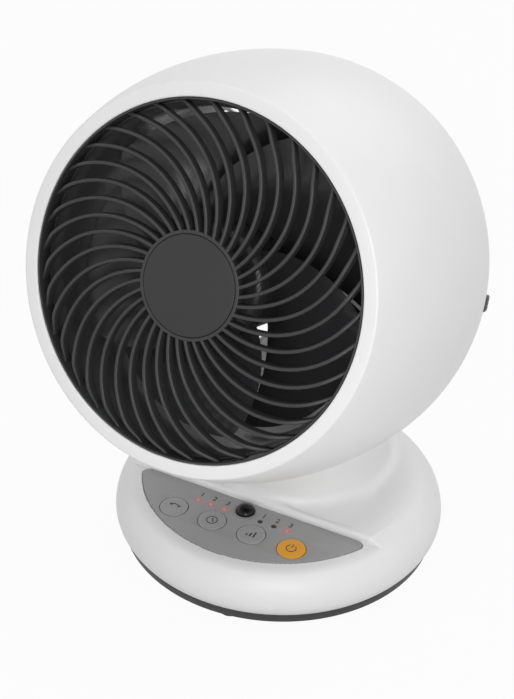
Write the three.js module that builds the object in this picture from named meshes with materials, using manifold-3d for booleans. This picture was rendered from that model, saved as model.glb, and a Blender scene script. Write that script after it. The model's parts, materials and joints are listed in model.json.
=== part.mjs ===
// Air circulator fan: a ball-shaped head that tilts and swivels in the cup of a round base.
// Millimetres, +Z up, the fan blows towards -Y.
import * as THREE from "three";
import { mergeVertices } from "three/addons/utils/BufferGeometryUtils.js";
import Module from "manifold-3d";

const wasm = await Module();
wasm.setup();

// ---------- driving dimensions ----------
const clearance = 0.3; // between pieces that touch or are screwed together
const wall = 2.4; // moulded walls of the housings
const roundSteps = 40; // steps round the large turned pieces
const innerSteps = 20; // steps round hollows that nobody sees
const hubSteps = 32; // steps round the duct, the hubs and the cup
const motorSteps = 24;
const buttonSteps = 16;
const smallSteps = 12; // steps round pins, feet and small bores
const screwSteps = 8;

// head, seen along its own axis
const headRadius = 111.5;
const headDepth = 99.8; // ball centre to the plane of the front ring
const ringRadius = 94; // outer edge of the front ring
const openingRadius = 87.2;
const barrelPower = 2.4; // how late the barrel narrows towards the ring
const lipDepth = 7.8;
const seamBehind = 25; // seam of shell and rear guard, behind the ball centre
const headHeight = 182.6; // ball centre above the table
const headForward = 8; // ball centre ahead of the base's axis
const restTilt = THREE.MathUtils.degToRad(18);
const tiltDown = 18; // degrees from rest to level
const tiltUp = 42; // degrees from rest to the upper stop

// front grille
const ribCount = 37;
const ribWidth = 1.8;
const ribDepth = 5.5;
const grilleProud = 1.2; // rib faces ahead of the front ring
const hubRadius = 26.5;
const capRadius = 24.5;
const capThickness = 2;
const sweepLinear = THREE.MathUtils.degToRad(33.4);
const sweepCubic = THREE.MathUtils.degToRad(10.5);
const sweepStart = THREE.MathUtils.degToRad(2.5);

// rear guard
const guardSink = 1.2; // guard surface below the shell surface
const guardRibs = 44;
const guardRibWidth = 2.2;
const guardThickness = 2.6;
const guardDiscRadius = 30;
const guardHoopWidth = 5;
const keelHalfWidth = 22;

// tilt track and shoe
const trackDepth = 9.7; // the track's inner face below the ball's skin
const trackThickness = 3.8;
const trackHalfWidth = 15;
const slotHalfWidth = 7;
const postHalfWidth = 6.2;
const postHalfLength = 8.4;
const shoeThickness = 3.8;
const shoeHalfWidth = 13;
const shoeHalfAngle = 11.5; // degrees
const shoeSocket = 1.5;
const stopMargin = 6; // degrees of slot beyond the end position of the post's middle

// motor and impeller
const motorRadius = 30;
const motorFront = 26;
const motorBack = -21.2;
const shaftRadius = 3;
const shaftTip = 86;
const shaftBack = 14;
const shaftPlay = 0.05; // the impeller and its nut are tight on the shaft
const motorScrewCircle = 20;
const motorScrewAngles = [90, 210, 330];
const motorCupDepth = 28;
const frameDepth = 6;
const frameScrewDepth = 12; // the frame's screws below the ball's skin
const frameBossLength = 18;
const frameBossWidth = 7;
const armWidth = 10;
const armAngles = [30, 150, 210, 330];
const impellerRadius = 80;
const impellerHubRadius = 29;
const impellerBack = 38;
const impellerFront = 80;
const hubNose = 8; // thickness of the impeller hub's front
const nutSeat = 77;
const nutRadius = 7;
const bladeCount = 5;
const bladeThickness = 1.8;
const bladeStart = -3; // degrees, middle of the first blade's root
const bladeRootChord = 98; // degrees round the shaft
const bladeTipChord = 77;
const bladeSweep = 38; // degrees by which the tip's middle trails the root's
const bladeSweepPower = 0.85;
const bladeMargin = 3; // hub that stands past each end of the blade's root
const bladeNarrowing = 0.25; // of its depth, from root to tip
const bladeCamber = 1;
const ductGap = 3; // blade tips to the duct wall
const ductWall = 2;
const ductThroat = 30; // where the duct's flare ends, ahead of the ball centre
const flangeThickness = 2; // of the grille's flange behind the ring's lip

// base
const baseRadius = 99.1; // widest, at baseBulgeHeight
const baseBulgeHeight = 17;
const baseRimRadius = 77; // radius of the rim's crest
const baseRimHeight = 39.1;
const shellBottomRadius = 95.5;
const shellBottomHeight = 8.7;
const dishHeight = 37.4;
const panRadius = 94.2;
const panBottom = 2.8;
const panThickness = 2;
const footRadius = 6.5;
const footCircle = 86.4;
const footTurn = 9; // degrees by which the square of feet is turned
const screwCircle = 80;
const screwAngles = [45, 135, 225, 315];
const screwSink = 3; // of the pan screws' heads
const bossRadius = 4;
const bossFoot = 9.2;
const postRadius = 2.6; // posts of the pan
const ballastInner = 42;
const ballastOuter = 68;
const ballastThickness = 4;

// neck and cup
const neckRadius = 57;
const neckBehind = 25.5; // neck axis behind the base's axis
const neckTopRadius = 49;
const cupGap = 2.7; // cup to the ball, room for the barrel as it swivels
const neckLean = 8; // how far the neck's top comes forward of its foot
const cupHoleRadius = 13;

// control panel
const panelHeight = 35.2;
const panelChord = -35.5; // straight edge of the plate
const panelRadius = 82.5;
const panelThickness = 1.8;
const panelProud = 0.2;
const panelFloor = 4.5; // thickness of the shell under the margin
const panelTipRadius = 4;
const ridgeGap = 1; // plate to the foot of the chord wall
const buttonRadius = 8.2;
const buttonRow = -60;
const buttonPitch = 25.4;
const buttonProud = 0.5;
const buttonTravel = 0.8;
const buttonGap = 0.35;
const ledRow = -47.5;
const ledRadius = 1.4;
const ledInner = 11.9;
const ledMiddle = 20.7;
const ledOuter = 29.1;
const eyeRow = -43.1;
const eyeRadius = 5.6;
const eyeDome = 2.8;
const boardThickness = 1.6;
const boardTop = 25.6;
const boardWidth = 100;
const boardFront = -72;
const boardBack = -38;
const boardPostRow = -46;
const switchHeight = 1;
const buttonSpots = [-1.5, -0.5, 0.5, 1.5].map((place) => place * buttonPitch);
const ledSpots = [-ledOuter, -ledMiddle, -ledInner, ledInner, ledMiddle, ledOuter];

// swivel drive
const gearModule = 1;
const gearTeeth = 48; // of a full wheel; only a sector of them is cut
const sectorTeeth = 15;
const pinionTeeth = 12;
const toothBacklash = 0.35;
const gearBottom = 23.3;
const gearThickness = 5;
const columnRadius = 10.5;
const columnSink = 0.9; // the column ends this far below the cup's skin
const spigotRadius = 12.1;
const bearingTop = 23;
const bearingThickness = 3.4;
const bearingOuter = 21;
const supportCircle = 17.6;
const supportAngles = [-90, 30, 150];
const washerThickness = 1.6;
const screwBoreDepth = 14;
const stepperRadius = 14;
const stepperTop = 19;

// fasteners and small parts
const screwRadius = 1.5;
const screwHeadRadius = 3;
const screwHeadHeight = 2;
const latchHeight = 9;
const latchWidth = 5;
const latchProud = 1.2;
const latchDepth = 11; // into the head, from the widest radius
const latchMiddle = seamBehind + latchWidth / 2; // behind the ball centre
const inletRadius = 5.2;
const inletBore = 3.2;
const inletHeight = 17;

// ---------- materials ----------
function plastic(name, color, roughness) {
  return new THREE.MeshStandardMaterial({ name, color, roughness, metalness: 0 });
}

function metal(name, color, roughness) {
  return new THREE.MeshStandardMaterial({ name, color, roughness, metalness: 1 });
}

const whitePlastic = plastic("white_plastic", 0xf1f1ef, 0.45);
const darkPlastic = plastic("dark_plastic", 0x434344, 0.5);
const blackPlastic = plastic("black_plastic", 0x1d1d1e, 0.4);
const smokedPlastic = plastic("smoked_plastic", 0x2a2a2c, 0.25);
const panelPlastic = plastic("panel_plastic", 0x8f9092, 0.4);
const buttonPlastic = plastic("button_plastic", 0x98999b, 0.4);
const powerPlastic = plastic("power_plastic", 0xe2a23a, 0.4);
const lensBlack = plastic("lens_black", 0x0b0b0c, 0.1);
const ledLit = plastic("led_lit", 0xf06a5e, 0.3);
const ledDark = plastic("led_dark", 0x4a2a2a, 0.3);
const boardGreen = plastic("board_green", 0x2f5b3a, 0.6);
const gearPlastic = plastic("gear_plastic", 0xd8d6cc, 0.5);
const footRubber = plastic("foot_rubber", 0x1a1a1a, 0.9);
const steel = metal("steel", 0xb4b6b8, 0.35);
const motorSteel = metal("motor_steel", 0x8e9194, 0.4);

// ---------- shapes ----------
function signedVolume(position, index) {
  const corners = [new THREE.Vector3(), new THREE.Vector3(), new THREE.Vector3()];
  let sum = 0;
  for (let i = 0; i < index.length; i += 3) {
    corners.forEach((corner, k) => corner.fromArray(position, index[i + k] * 3));
    sum += corners[0].dot(corners[1].cross(corners[2]));
  }
  return sum / 6;
}

// A closed geometry as a solid, with its faces pointing out.
function solid(geometry) {
  const bare = geometry.clone();
  bare.deleteAttribute("normal");
  bare.deleteAttribute("uv");
  const merged = mergeVertices(bare, 1e-3);
  const source = merged.index.array;
  const corners = [];
  for (let i = 0; i < source.length; i += 3) {
    const [a, b, c] = [source[i], source[i + 1], source[i + 2]];
    if (a !== b && b !== c && c !== a) corners.push(a, b, c);
  }
  const position = merged.attributes.position.array;
  if (signedVolume(position, corners) < 0) corners.reverse();
  const vertProperties = new Float32Array(position);
  const triVerts = new Uint32Array(corners);
  return new wasm.Manifold(new wasm.Mesh({ numProp: 3, vertProperties, triVerts }));
}

function joined(...solids) {
  return solids.reduce((sum, next) => sum.add(next));
}

function cut(body, ...tools) {
  return tools.reduce((rest, tool) => rest.subtract(tool), body);
}

function surface(body) {
  const { vertProperties, triVerts } = body.getMesh();
  const geometry = new THREE.BufferGeometry();
  geometry.setAttribute("position", new THREE.BufferAttribute(new Float32Array(vertProperties), 3));
  geometry.setIndex(new THREE.BufferAttribute(new Uint32Array(triVerts), 1));
  return geometry;
}

function mesh(name, body, material) {
  const faceted = surface(body).toNonIndexed();
  faceted.computeVertexNormals();
  const result = new THREE.Mesh(faceted, material);
  result.name = name;
  return result;
}

// Turns a solid about X, then Y, then Z, in degrees, and then shifts it.
function placed(body, shift, turn = [0, 0, 0]) {
  const [x, y, z] = turn.map((degrees) => THREE.MathUtils.degToRad(degrees));
  const matrix = new THREE.Matrix4().makeRotationFromEuler(new THREE.Euler(x, y, z, "ZYX"));
  matrix.setPosition(...shift);
  return solid(surface(body).applyMatrix4(matrix));
}

// Turned about the head's axis.
function round(body, degrees) {
  return placed(body, [0, 0, 0], [0, degrees, 0]);
}

// A body drawn along +Z, laid along the head's axis: +Z becomes forward.
function facingFront(body, x = 0, ahead = 0) {
  return placed(body, [x, -ahead, 0], [90, 0, 0]);
}

function facingBack(body, x = 0, ahead = 0) {
  return placed(body, [x, -ahead, 0], [-90, 0, 0]);
}

function around(count, make) {
  return Array.from({ length: count }, (_, i) => make((i * 360) / count));
}

// Turned about Z from [radius, height] points.
function turned(points, steps = roundSteps) {
  const profile = points.map(([radius, height]) => new THREE.Vector2(radius, height));
  const geometry = new THREE.LatheGeometry(profile, steps);
  geometry.rotateX(Math.PI / 2);
  return solid(geometry);
}

// Turned about the head's axis from [radius, distance ahead of the ball centre] points.
function headTurned(points, steps = roundSteps) {
  const profile = points.map(([radius, ahead]) => new THREE.Vector2(radius, -ahead));
  return solid(new THREE.LatheGeometry(profile, steps));
}

function closed(points) {
  return [...points, points[0]];
}

function disc(radius, low, high, steps = smallSteps) {
  return turned([[0, low], [radius, low], [radius, high], [0, high]], steps);
}

function block(width, depth, height, x, y, z) {
  const geometry = new THREE.BoxGeometry(width, depth, height);
  geometry.translate(x, y, z);
  return solid(geometry);
}

function polygon(points) {
  return new THREE.Shape(points.map(([x, y]) => new THREE.Vector2(x, y)));
}

function prism(points, low, high) {
  const geometry = new THREE.ExtrudeGeometry(polygon(points), { depth: high - low, bevelEnabled: false });
  geometry.translate(0, 0, low);
  return solid(geometry);
}

// An outline of [y, z] points carried along X to both sides of the middle plane.
function crosswise(points, halfWidth) {
  const geometry = new THREE.ExtrudeGeometry(polygon(points), { depth: 2 * halfWidth, bevelEnabled: false });
  const alongX = new THREE.Matrix4().makeBasis(
    new THREE.Vector3(0, 1, 0),
    new THREE.Vector3(0, 0, 1),
    new THREE.Vector3(1, 0, 0),
  );
  geometry.applyMatrix4(alongX);
  geometry.translate(-halfWidth, 0, 0);
  return solid(geometry);
}

// Ring sector about the tilt axis. Angles in degrees from the head's front towards its underside.
function underArc(inner, outer, from, to, halfWidth, steps = 12) {
  const points = [];
  for (let i = 0; i <= steps; i += 1) {
    const angle = THREE.MathUtils.degToRad(from + ((to - from) * i) / steps);
    points.push([-inner * Math.cos(angle), -inner * Math.sin(angle)]);
  }
  for (let i = steps; i >= 0; i -= 1) {
    const angle = THREE.MathUtils.degToRad(from + ((to - from) * i) / steps);
    points.push([-outer * Math.cos(angle), -outer * Math.sin(angle)]);
  }
  return crosswise(points, halfWidth);
}

function barrelRadius(ahead) {
  if (ahead <= 0) return Math.sqrt(headRadius ** 2 - ahead ** 2);
  return headRadius - (headRadius - ringRadius) * (ahead / headDepth) ** barrelPower;
}

function shellInnerRadius(ahead) {
  if (ahead <= 0) return Math.sqrt((headRadius - wall) ** 2 - ahead ** 2);
  return barrelRadius(ahead) - wall;
}

function steps(from, to, count) {
  return Array.from({ length: count + 1 }, (_, i) => from + ((to - from) * i) / count);
}

function polar(radius, degrees) {
  const angle = THREE.MathUtils.degToRad(degrees);
  return [radius * Math.cos(angle), radius * Math.sin(angle)];
}

// A screw along +Z, its head's underside at zero and its shaft below.
function screw(length) {
  const shaft = [[0, -length], [screwRadius, -length], [screwRadius, 0]];
  const head = [[screwHeadRadius, 0], [screwHeadRadius, screwHeadHeight], [0, screwHeadHeight]];
  return turned([...shaft, ...head], screwSteps);
}

const screwHole = screwRadius + clearance;

// ---------- head ----------
const trackInner = headRadius - trackDepth; // radius about the tilt axis
const shoeOuter = trackInner - clearance - 0.1;
const shoeInner = shoeOuter - shoeThickness;
const frameScrewCircle = headRadius - frameScrewDepth;
const slotFrom = 90 - stopMargin;
const slotTo = 90 + tiltDown + tiltUp + stopMargin;
const frameFront = motorBack + 2.5;
const frameBack = frameFront - frameDepth;

function tiltSlot() {
  return underArc(trackInner - clearance, headRadius + 10, slotFrom, slotTo, slotHalfWidth);
}

function latchNotch(side) {
  const width = latchWidth + 2 * clearance;
  const height = latchHeight + 2 * clearance;
  return block(2 * (wall + latchDepth), width, height, side * headRadius, latchMiddle, 0);
}

function frontShell() {
  const back = -seamBehind;
  const lip = headDepth - lipDepth;
  const edge = 1.2; // rounding of the ring's edges
  const outside = steps(back, headDepth - edge, 8).map((ahead) => [barrelRadius(ahead), ahead]);
  const inside = steps(lip, back, 5).map((ahead) => [shellInnerRadius(ahead), ahead]);
  const body = headTurned(closed([
    ...outside,
    [ringRadius - edge / 2, headDepth],
    [openingRadius + edge / 2, headDepth],
    [openingRadius, headDepth - edge / 2],
    [openingRadius, lip],
    ...inside,
  ]));
  const bosses = armAngles.map((angle) => frameBoss(angle));
  return cut(joined(body, ...bosses), tiltSlot(), latchNotch(-1), latchNotch(1));
}

// Inside the shell, a bar with a blind bore that takes a screw of the motor frame.
function frameBoss(angle) {
  const inner = frameScrewCircle - 3;
  const outer = headRadius - wall / 2 - 1;
  const middle = frameFront + clearance + frameBossLength / 2;
  const bar = block(outer - inner, frameBossLength, frameBossWidth, (inner + outer) / 2, -middle, 0);
  const blind = disc(screwHole, -frameBossLength, frameBossLength / 2 - 3, screwSteps);
  return round(cut(bar, facingFront(blind, frameScrewCircle, middle)), angle);
}

function guardPoint(radius, degrees) {
  const angle = THREE.MathUtils.degToRad(degrees);
  return [radius * Math.sin(angle), radius * Math.cos(angle)];
}

// A turned band of the guard's spherical wall, between two angles from the front.
function guardBand(outer, from, to, count) {
  const inner = outer - guardThickness;
  const outside = steps(from, to, count).map((angle) => guardPoint(outer, angle));
  const inside = steps(to, from, count).map((angle) => guardPoint(inner, angle));
  return headTurned(closed([...outside, ...inside]));
}

function rearGuard() {
  const outer = headRadius - guardSink;
  const inner = outer - guardThickness;
  const seam = THREE.MathUtils.radToDeg(Math.acos(-(seamBehind + clearance) / inner));
  const hoopAngle = THREE.MathUtils.radToDeg(guardHoopWidth / outer);
  const discAngle = 180 - THREE.MathUtils.radToDeg(Math.asin(guardDiscRadius / outer));
  const ribSink = 0.35; // ribs lie below the hoop's skin on both sides
  const ribFrom = seam + hoopAngle / 2;
  const rib = underArc(inner + ribSink, outer - ribSink, ribFrom, discAngle + 1.5, guardRibWidth / 2, 4);
  const ribs = around(guardRibs, (angle) => round(rib, angle + 180 / guardRibs));
  const seamHoop = guardBand(outer, seam, seam + hoopAngle, 1);
  const back = headTurned([
    [0, -inner],
    guardPoint(inner, discAngle),
    guardPoint(outer, discAngle),
    guardPoint(outer, (discAngle + 180) / 2),
    [0, -outer],
  ], innerSteps);
  const keelBand = guardBand(outer, seam + 0.5, slotTo + stopMargin, 4);
  const keel = keelBand.intersect(block(2 * keelHalfWidth, 4 * outer, outer, 0, 0, -outer / 2 - 20));
  const body = joined(seamHoop, back, keel, ...ribs);
  return cut(body, tiltSlot(), latchNotch(-1), latchNotch(1));
}

function guardLatch(side) {
  const outer = barrelRadius(-latchMiddle) + latchProud;
  const length = outer - (headRadius - latchDepth);
  return block(length, latchWidth, latchHeight, side * (outer - length / 2), latchMiddle, 0);
}

const grilleFace = headDepth + grilleProud;
const grilleRingOuter = openingRadius - clearance;

function ribAngle(radius) {
  const t = (radius - hubRadius) / (openingRadius - hubRadius);
  return sweepStart + sweepLinear * t + sweepCubic * t ** 3;
}

function grilleRib() {
  const radii = steps(hubRadius - 1, grilleRingOuter - 1, 5);
  const sides = [1, -1].map((side) =>
    radii.map((radius) => {
      const slope = sweepLinear / (openingRadius - hubRadius);
      const lean = Math.hypot(1, radius * slope); // keeps the rib's width square to its run
      const angle = ribAngle(radius) + (side * ribWidth * lean) / (2 * radius);
      return [radius * Math.cos(angle), radius * Math.sin(angle)];
    }),
  );
  return prism([...sides[1], ...sides[0].reverse()], grilleFace - ribDepth, grilleFace);
}

// The grille is drawn facing +Z and then turned to face the head's front.
function frontGrille() {
  const rib = grilleRib();
  const ribs = around(ribCount, (angle) => placed(rib, [0, 0, 0], [0, 0, angle]));
  const lip = headDepth - lipDepth;
  const flange = grilleRingOuter + 3.5;
  const ringInner = grilleRingOuter - 2.2;
  const ringFront = grilleFace - 3;
  const ring = turned(closed([
    [ringInner, ringFront],
    [grilleRingOuter, ringFront],
    [grilleRingOuter, lip - clearance],
    [flange, lip - clearance],
    [flange, lip - clearance - flangeThickness],
    [ringInner, lip - clearance - flangeThickness],
  ]));
  const seat = grilleFace - capThickness;
  const hub = turned([
    [0, grilleFace - ribDepth - 1],
    [hubRadius, grilleFace - ribDepth - 1],
    [hubRadius, grilleFace],
    [capRadius + clearance, grilleFace],
    [capRadius + clearance, seat],
    [0, seat],
  ], hubSteps);
  return facingFront(joined(ring, hub, ...ribs));
}

function grilleCap() {
  const seat = grilleFace - capThickness + clearance;
  const crown = 0.6;
  const cap = [[0, seat], [capRadius, seat], [capRadius, grilleFace], [0, grilleFace + crown]];
  return facingFront(turned(cap, hubSteps));
}

const ductInner = impellerRadius + ductGap;

// The mouth's edge passes over the screw of the tilt shoe as the head tilts.
function airDuct() {
  const front = headDepth - lipDepth - flangeThickness - 2 * clearance;
  const back = frameFront + clearance;
  const room = shoeInner - screwHeadHeight - 3 * clearance;
  const ductMouthRadius = Math.sqrt(room ** 2 - back ** 2);
  const mouth = steps(0, 1, 5).map((t) => {
    const flare = (1 - Math.sin((t * Math.PI) / 2)) * (ductMouthRadius - ductWall - ductInner);
    return [ductInner + flare, back + (ductThroat - back) * t];
  });
  const outside = [...mouth].reverse().map(([radius, ahead]) => [radius + ductWall, ahead]);
  const profile = [...mouth, [ductInner, front], [ductInner + ductWall, front], ...outside];
  return headTurned(closed(profile), hubSteps);
}

function motorFrame() {
  const ringOuter = shellInnerRadius(frameBack) - 2 * clearance;
  const ring = headTurned(closed([
    [ringOuter, frameFront],
    [ringOuter, frameBack],
    [trackInner, frameBack],
    [trackInner, frameFront],
  ]));
  const cupInner = motorRadius + clearance;
  const cupOuter = cupInner + wall;
  const cupFront = motorBack + motorCupDepth;
  const cupBore = 8;
  const cup = headTurned(closed([
    [cupBore, motorBack - clearance],
    [cupInner, motorBack - clearance],
    [cupInner, cupFront],
    [cupOuter, cupFront],
    [cupOuter, frameBack],
    [cupBore, frameBack],
  ]), motorSteps);
  const armFrom = cupInner + 1;
  const armTo = trackInner + 1;
  const armMiddle = -(frameFront + frameBack) / 2;
  const arm = block(armTo - armFrom, frameDepth, armWidth, (armFrom + armTo) / 2, armMiddle, 0);
  const arms = armAngles.map((angle) => round(arm, angle));
  const trackEnd = 3; // degrees of track beyond the slot
  const outer = trackInner + trackThickness;
  const track = underArc(trackInner, outer, slotFrom - trackEnd, slotTo + trackEnd, trackHalfWidth, 10);
  const screwBores = armAngles.map((angle) => frameScrewBore(angle));
  const motorBores = motorScrewAngles.map((angle) => motorScrewBore(angle));
  return cut(joined(ring, cup, track, ...arms), tiltSlot(), ...screwBores, ...motorBores);
}

function frameScrewBore(angle) {
  const bore = disc(screwHole, -3 * frameDepth, 3 * frameDepth, screwSteps);
  return round(facingFront(bore, frameScrewCircle, frameBack), angle);
}

function frameScrew(angle) {
  return round(facingBack(screw(frameDepth + 9), frameScrewCircle, frameBack - clearance), angle);
}

function motorScrewBore(angle) {
  const bore = disc(screwHole, -2 * frameDepth, 2 * frameDepth, screwSteps);
  return round(facingFront(bore, motorScrewCircle, motorBack), angle);
}

function motorScrew(angle) {
  return round(facingBack(screw(frameDepth + 3), motorScrewCircle, frameBack - clearance), angle);
}

function motorCan() {
  const edge = 3;
  const bossRadius = 9;
  const bossFront = motorFront + 5;
  const body = headTurned([
    [0, motorBack],
    [motorRadius - edge, motorBack],
    [motorRadius, motorBack + edge],
    [motorRadius, motorFront - edge],
    [motorRadius - edge, motorFront],
    [bossRadius, motorFront],
    [bossRadius, bossFront],
    [0, bossFront],
  ], motorSteps);
  const shaftBore = facingFront(disc(shaftRadius + clearance, 0, bossFront), 0, shaftBack);
  const bores = motorScrewAngles.map((angle) => motorScrewBore(angle));
  return cut(body, shaftBore, ...bores);
}

function motorShaft() {
  const back = shaftBack + clearance;
  return headTurned([[0, back], [shaftRadius, back], [shaftRadius, shaftTip], [0, shaftTip]], smallSteps);
}

// ---------- rotor ----------
// A block of one by one by one, drawn out into a blade: X runs out from the root, Y forward along it.
function blade() {
  const geometry = new THREE.BoxGeometry(1, 1, 1, 5, 8, 1);
  const position = geometry.attributes.position;
  const root = impellerHubRadius - wall;
  const middle = (impellerFront + impellerBack) / 2;
  const rootDepth = impellerFront - impellerBack - 2 * bladeMargin;
  for (let i = 0; i < position.count; i += 1) {
    const out = position.getX(i) + 0.5;
    const along = position.getY(i);
    const thick = position.getZ(i) * bladeThickness;
    const radius = root + (impellerRadius - root) * out;
    const chord = THREE.MathUtils.lerp(bladeRootChord, bladeTipChord, out);
    const turn = bladeStart + along * chord - bladeSweep * out ** bladeSweepPower;
    const angle = THREE.MathUtils.degToRad(turn);
    const depth = rootDepth * (1 - bladeNarrowing * out);
    const camber = bladeCamber * (1 - 4 * along ** 2);
    const ahead = middle + along * depth + camber + thick;
    position.setXYZ(i, radius * Math.cos(angle), -ahead, radius * Math.sin(angle));
  }
  return solid(geometry);
}

function impeller() {
  const inner = impellerHubRadius - wall;
  const noseBack = impellerFront - hubNose;
  const hub = headTurned(closed([
    [shaftRadius + shaftPlay, noseBack],
    [inner, noseBack],
    [inner, impellerBack],
    [impellerHubRadius, impellerBack],
    [impellerHubRadius, impellerFront - 6],
    [impellerHubRadius - 6, impellerFront - 1],
    [nutRadius + 2, impellerFront],
    [nutRadius + 2, nutSeat],
    [shaftRadius + shaftPlay, nutSeat],
  ]), hubSteps);
  const hollow = headTurned([[0, 0], [inner, 0], [inner, noseBack], [0, noseBack]], hubSteps);
  const one = cut(blade(), hollow);
  return joined(hub, ...around(bladeCount, (angle) => round(one, angle)));
}

function impellerNut() {
  const back = nutSeat + clearance;
  const front = shaftTip + 3;
  const end = shaftTip + clearance;
  const bore = shaftRadius + shaftPlay;
  const chamfer = 3;
  const nose = [[nutRadius, front - chamfer], [nutRadius - chamfer, front], [0, front]];
  return headTurned(closed([[bore, back], [nutRadius, back], ...nose, [0, end], [bore, end]]), smallSteps);
}

// ---------- base ----------
// Outside of the base, from the bottom edge over the rim to the dish.
function baseOutline(rimSteps) {
  const rise = baseRimHeight - baseBulgeHeight;
  const reach = baseRadius - baseRimRadius;
  const rim = steps(0, 90, rimSteps).map((degrees) => {
    const [x, y] = polar(1, degrees);
    return [baseRimRadius + reach * x, baseBulgeHeight + rise * y];
  });
  const skirt = [[shellBottomRadius, shellBottomHeight], [baseRadius - 1, shellBottomHeight + 4]];
  return [...skirt, ...rim, [baseRimRadius - 15, dishHeight + 0.4]];
}

const neckTop = headHeight - headRadius + 36; // above the cup's lip

// From the fillet on the dish to the top, as a cone.
function neckOutline() {
  const foot = dishHeight - 1;
  const flare = 5;
  const shrink = neckRadius - neckTopRadius;
  const coneFoot = foot + 8;
  const cone = steps(0, 1, 3).map((t) => [neckRadius - 1 - shrink * t, coneFoot + (neckTop - coneFoot) * t]);
  return [[neckRadius + flare, foot], [neckRadius + 1.4, foot + 2.2], [neckRadius - 0.4, foot + 5], ...cone];
}

// The neck is turned about its own axis and then leans forward.
function neckSolid(points, count) {
  const profile = points.map(([radius, height]) => new THREE.Vector2(radius, height));
  const geometry = new THREE.LatheGeometry(profile, count);
  geometry.rotateX(Math.PI / 2);
  const slope = -neckLean / (neckTop - dishHeight);
  const lean = new THREE.Matrix4().makeShear(0, 0, 0, 0, 0, slope);
  geometry.applyMatrix4(lean);
  geometry.translate(0, neckBehind - slope * dishHeight, 0);
  return solid(geometry);
}

function cupBall(extra) {
  const radius = headRadius + cupGap + extra;
  const arc = steps(-90, -30, 8).map((degrees) => polar(radius, degrees));
  return placed(turned([...arc, [0, -radius / 2]], hubSteps), [0, -headForward, headHeight]);
}

// All that lies ahead of a line across the base and above a height.
function frontRoom(line, height) {
  const tall = 2 * headHeight;
  return block(3 * baseRadius, 2 * baseRadius, tall, 0, line - baseRadius, height + tall / 2);
}

function shellOutside() {
  const bulk = turned([[0, shellBottomHeight], ...baseOutline(6), [0, dishHeight]]);
  return cut(bulk, frontRoom(panelChord + ridgeGap, panelHeight));
}

function neckOutside() {
  const low = neckOutline();
  return neckSolid([[0, low[0][1]], ...low, [0, neckTop]], roundSteps);
}

function shellHollow() {
  const [bottom, ...rest] = baseOutline(3);
  const mouth = [bottom[0] - wall, shellBottomHeight - 1];
  const inside = rest.map(([radius, height]) => [radius - wall, height - wall]);
  const profile = [[0, shellBottomHeight - 1], mouth, ...inside, [0, dishHeight - wall]];
  const neckInside = neckOutline().slice(1).map(([radius, height]) => [radius - wall, height - wall]);
  const neckFloor = dishHeight / 2;
  const neckProfile = [[0, neckFloor], [neckInside[0][0], neckFloor], ...neckInside, [0, neckTop]];
  const room = joined(turned(profile, innerSteps), neckSolid(neckProfile, innerSteps));
  return cut(room, frontRoom(panelChord + ridgeGap + wall, panelHeight - panelFloor), cupBall(wall));
}

function baseShell() {
  const bulk = shellOutside();
  const outside = cut(joined(bulk, neckOutside()), cupBall(0));
  const bosses = screwAngles.map((angle) => shellBoss(angle).intersect(bulk));
  const body = joined(cut(outside, shellHollow()), ...bosses);
  const holes = [cupHole(), platePocket(), inletHole(), ...panelHoles(buttonGap, clearance), ...bossBores()];
  return cut(body, ...holes);
}

function atScrews(make) {
  return screwAngles.map((angle) => placed(make(), [...polar(screwCircle, angle), 0]));
}

function shellBoss(angle) {
  return placed(disc(bossRadius, bossFoot, dishHeight, screwSteps), [...polar(screwCircle, angle), 0]);
}

function bossBores() {
  return atScrews(() => disc(screwHole, 0, bossFoot + 11, screwSteps));
}

function cupHole() {
  return placed(disc(cupHoleRadius, dishHeight, headHeight / 2, 24), [0, -headForward, 0]);
}

// Outline of the half-moon plate: an arc about the base's axis, a straight chord and rounded tips.
function plateOutline(grow) {
  const radius = panelRadius + grow;
  const chord = panelChord + grow;
  const tip = panelTipRadius + grow;
  const tipX = Math.sqrt((radius - tip) ** 2 - (chord - tip) ** 2);
  const tipY = chord - tip;
  const meet = THREE.MathUtils.radToDeg(Math.atan2(tipY, tipX));
  const right = steps(meet, 90, 4).map((angle) => {
    const [x, y] = polar(tip, angle);
    return [tipX + x, tipY + y];
  });
  const left = steps(90, 180 - meet, 4).map((angle) => {
    const [x, y] = polar(tip, angle);
    return [-tipX + x, tipY + y];
  });
  const arc = steps(-180 - meet, meet, 20).slice(1, -1).map((angle) => polar(radius, angle));
  return [...right, ...left, ...arc];
}

const plateTop = panelHeight + panelProud;
const plateBottom = plateTop - panelThickness;

function platePocket() {
  return prism(plateOutline(clearance), plateBottom - clearance, panelHeight + 10);
}

function panelHoles(roundButton, roundSmall) {
  const low = boardTop;
  const high = panelHeight + 5;
  const buttons = buttonSpots.map((x) => {
    return placed(disc(buttonRadius + roundButton, low, high, buttonSteps), [x, buttonRow, 0]);
  });
  const leds = ledSpots.map((x) => {
    return placed(disc(ledRadius + roundSmall, low, high, screwSteps), [x, ledRow, 0]);
  });
  const eye = placed(disc(eyeRadius + roundSmall, low, high, buttonSteps), [0, eyeRow, 0]);
  return [...buttons, ...leds, eye];
}

function panelPlate() {
  return cut(prism(plateOutline(0), plateBottom, plateTop), ...panelHoles(buttonGap, clearance));
}

// A cap with a flange that keeps it under the shell and a stem down to its switch.
function button(x) {
  const floor = panelHeight - panelFloor - clearance;
  const top = plateTop + buttonProud;
  const stem = boardTop + switchHeight + buttonTravel + clearance;
  const stemRadius = 3;
  const flange = buttonRadius + 1.2;
  const flangeBottom = floor - 1.4;
  const body = turned([
    [0, stem],
    [stemRadius, stem],
    [stemRadius, flangeBottom],
    [flange, flangeBottom],
    [flange, floor],
    [buttonRadius, floor],
    [buttonRadius, top - 0.4],
    [buttonRadius - 0.5, top],
    [0, top],
  ], buttonSteps);
  return placed(body, [x, buttonRow, 0]);
}

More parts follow.
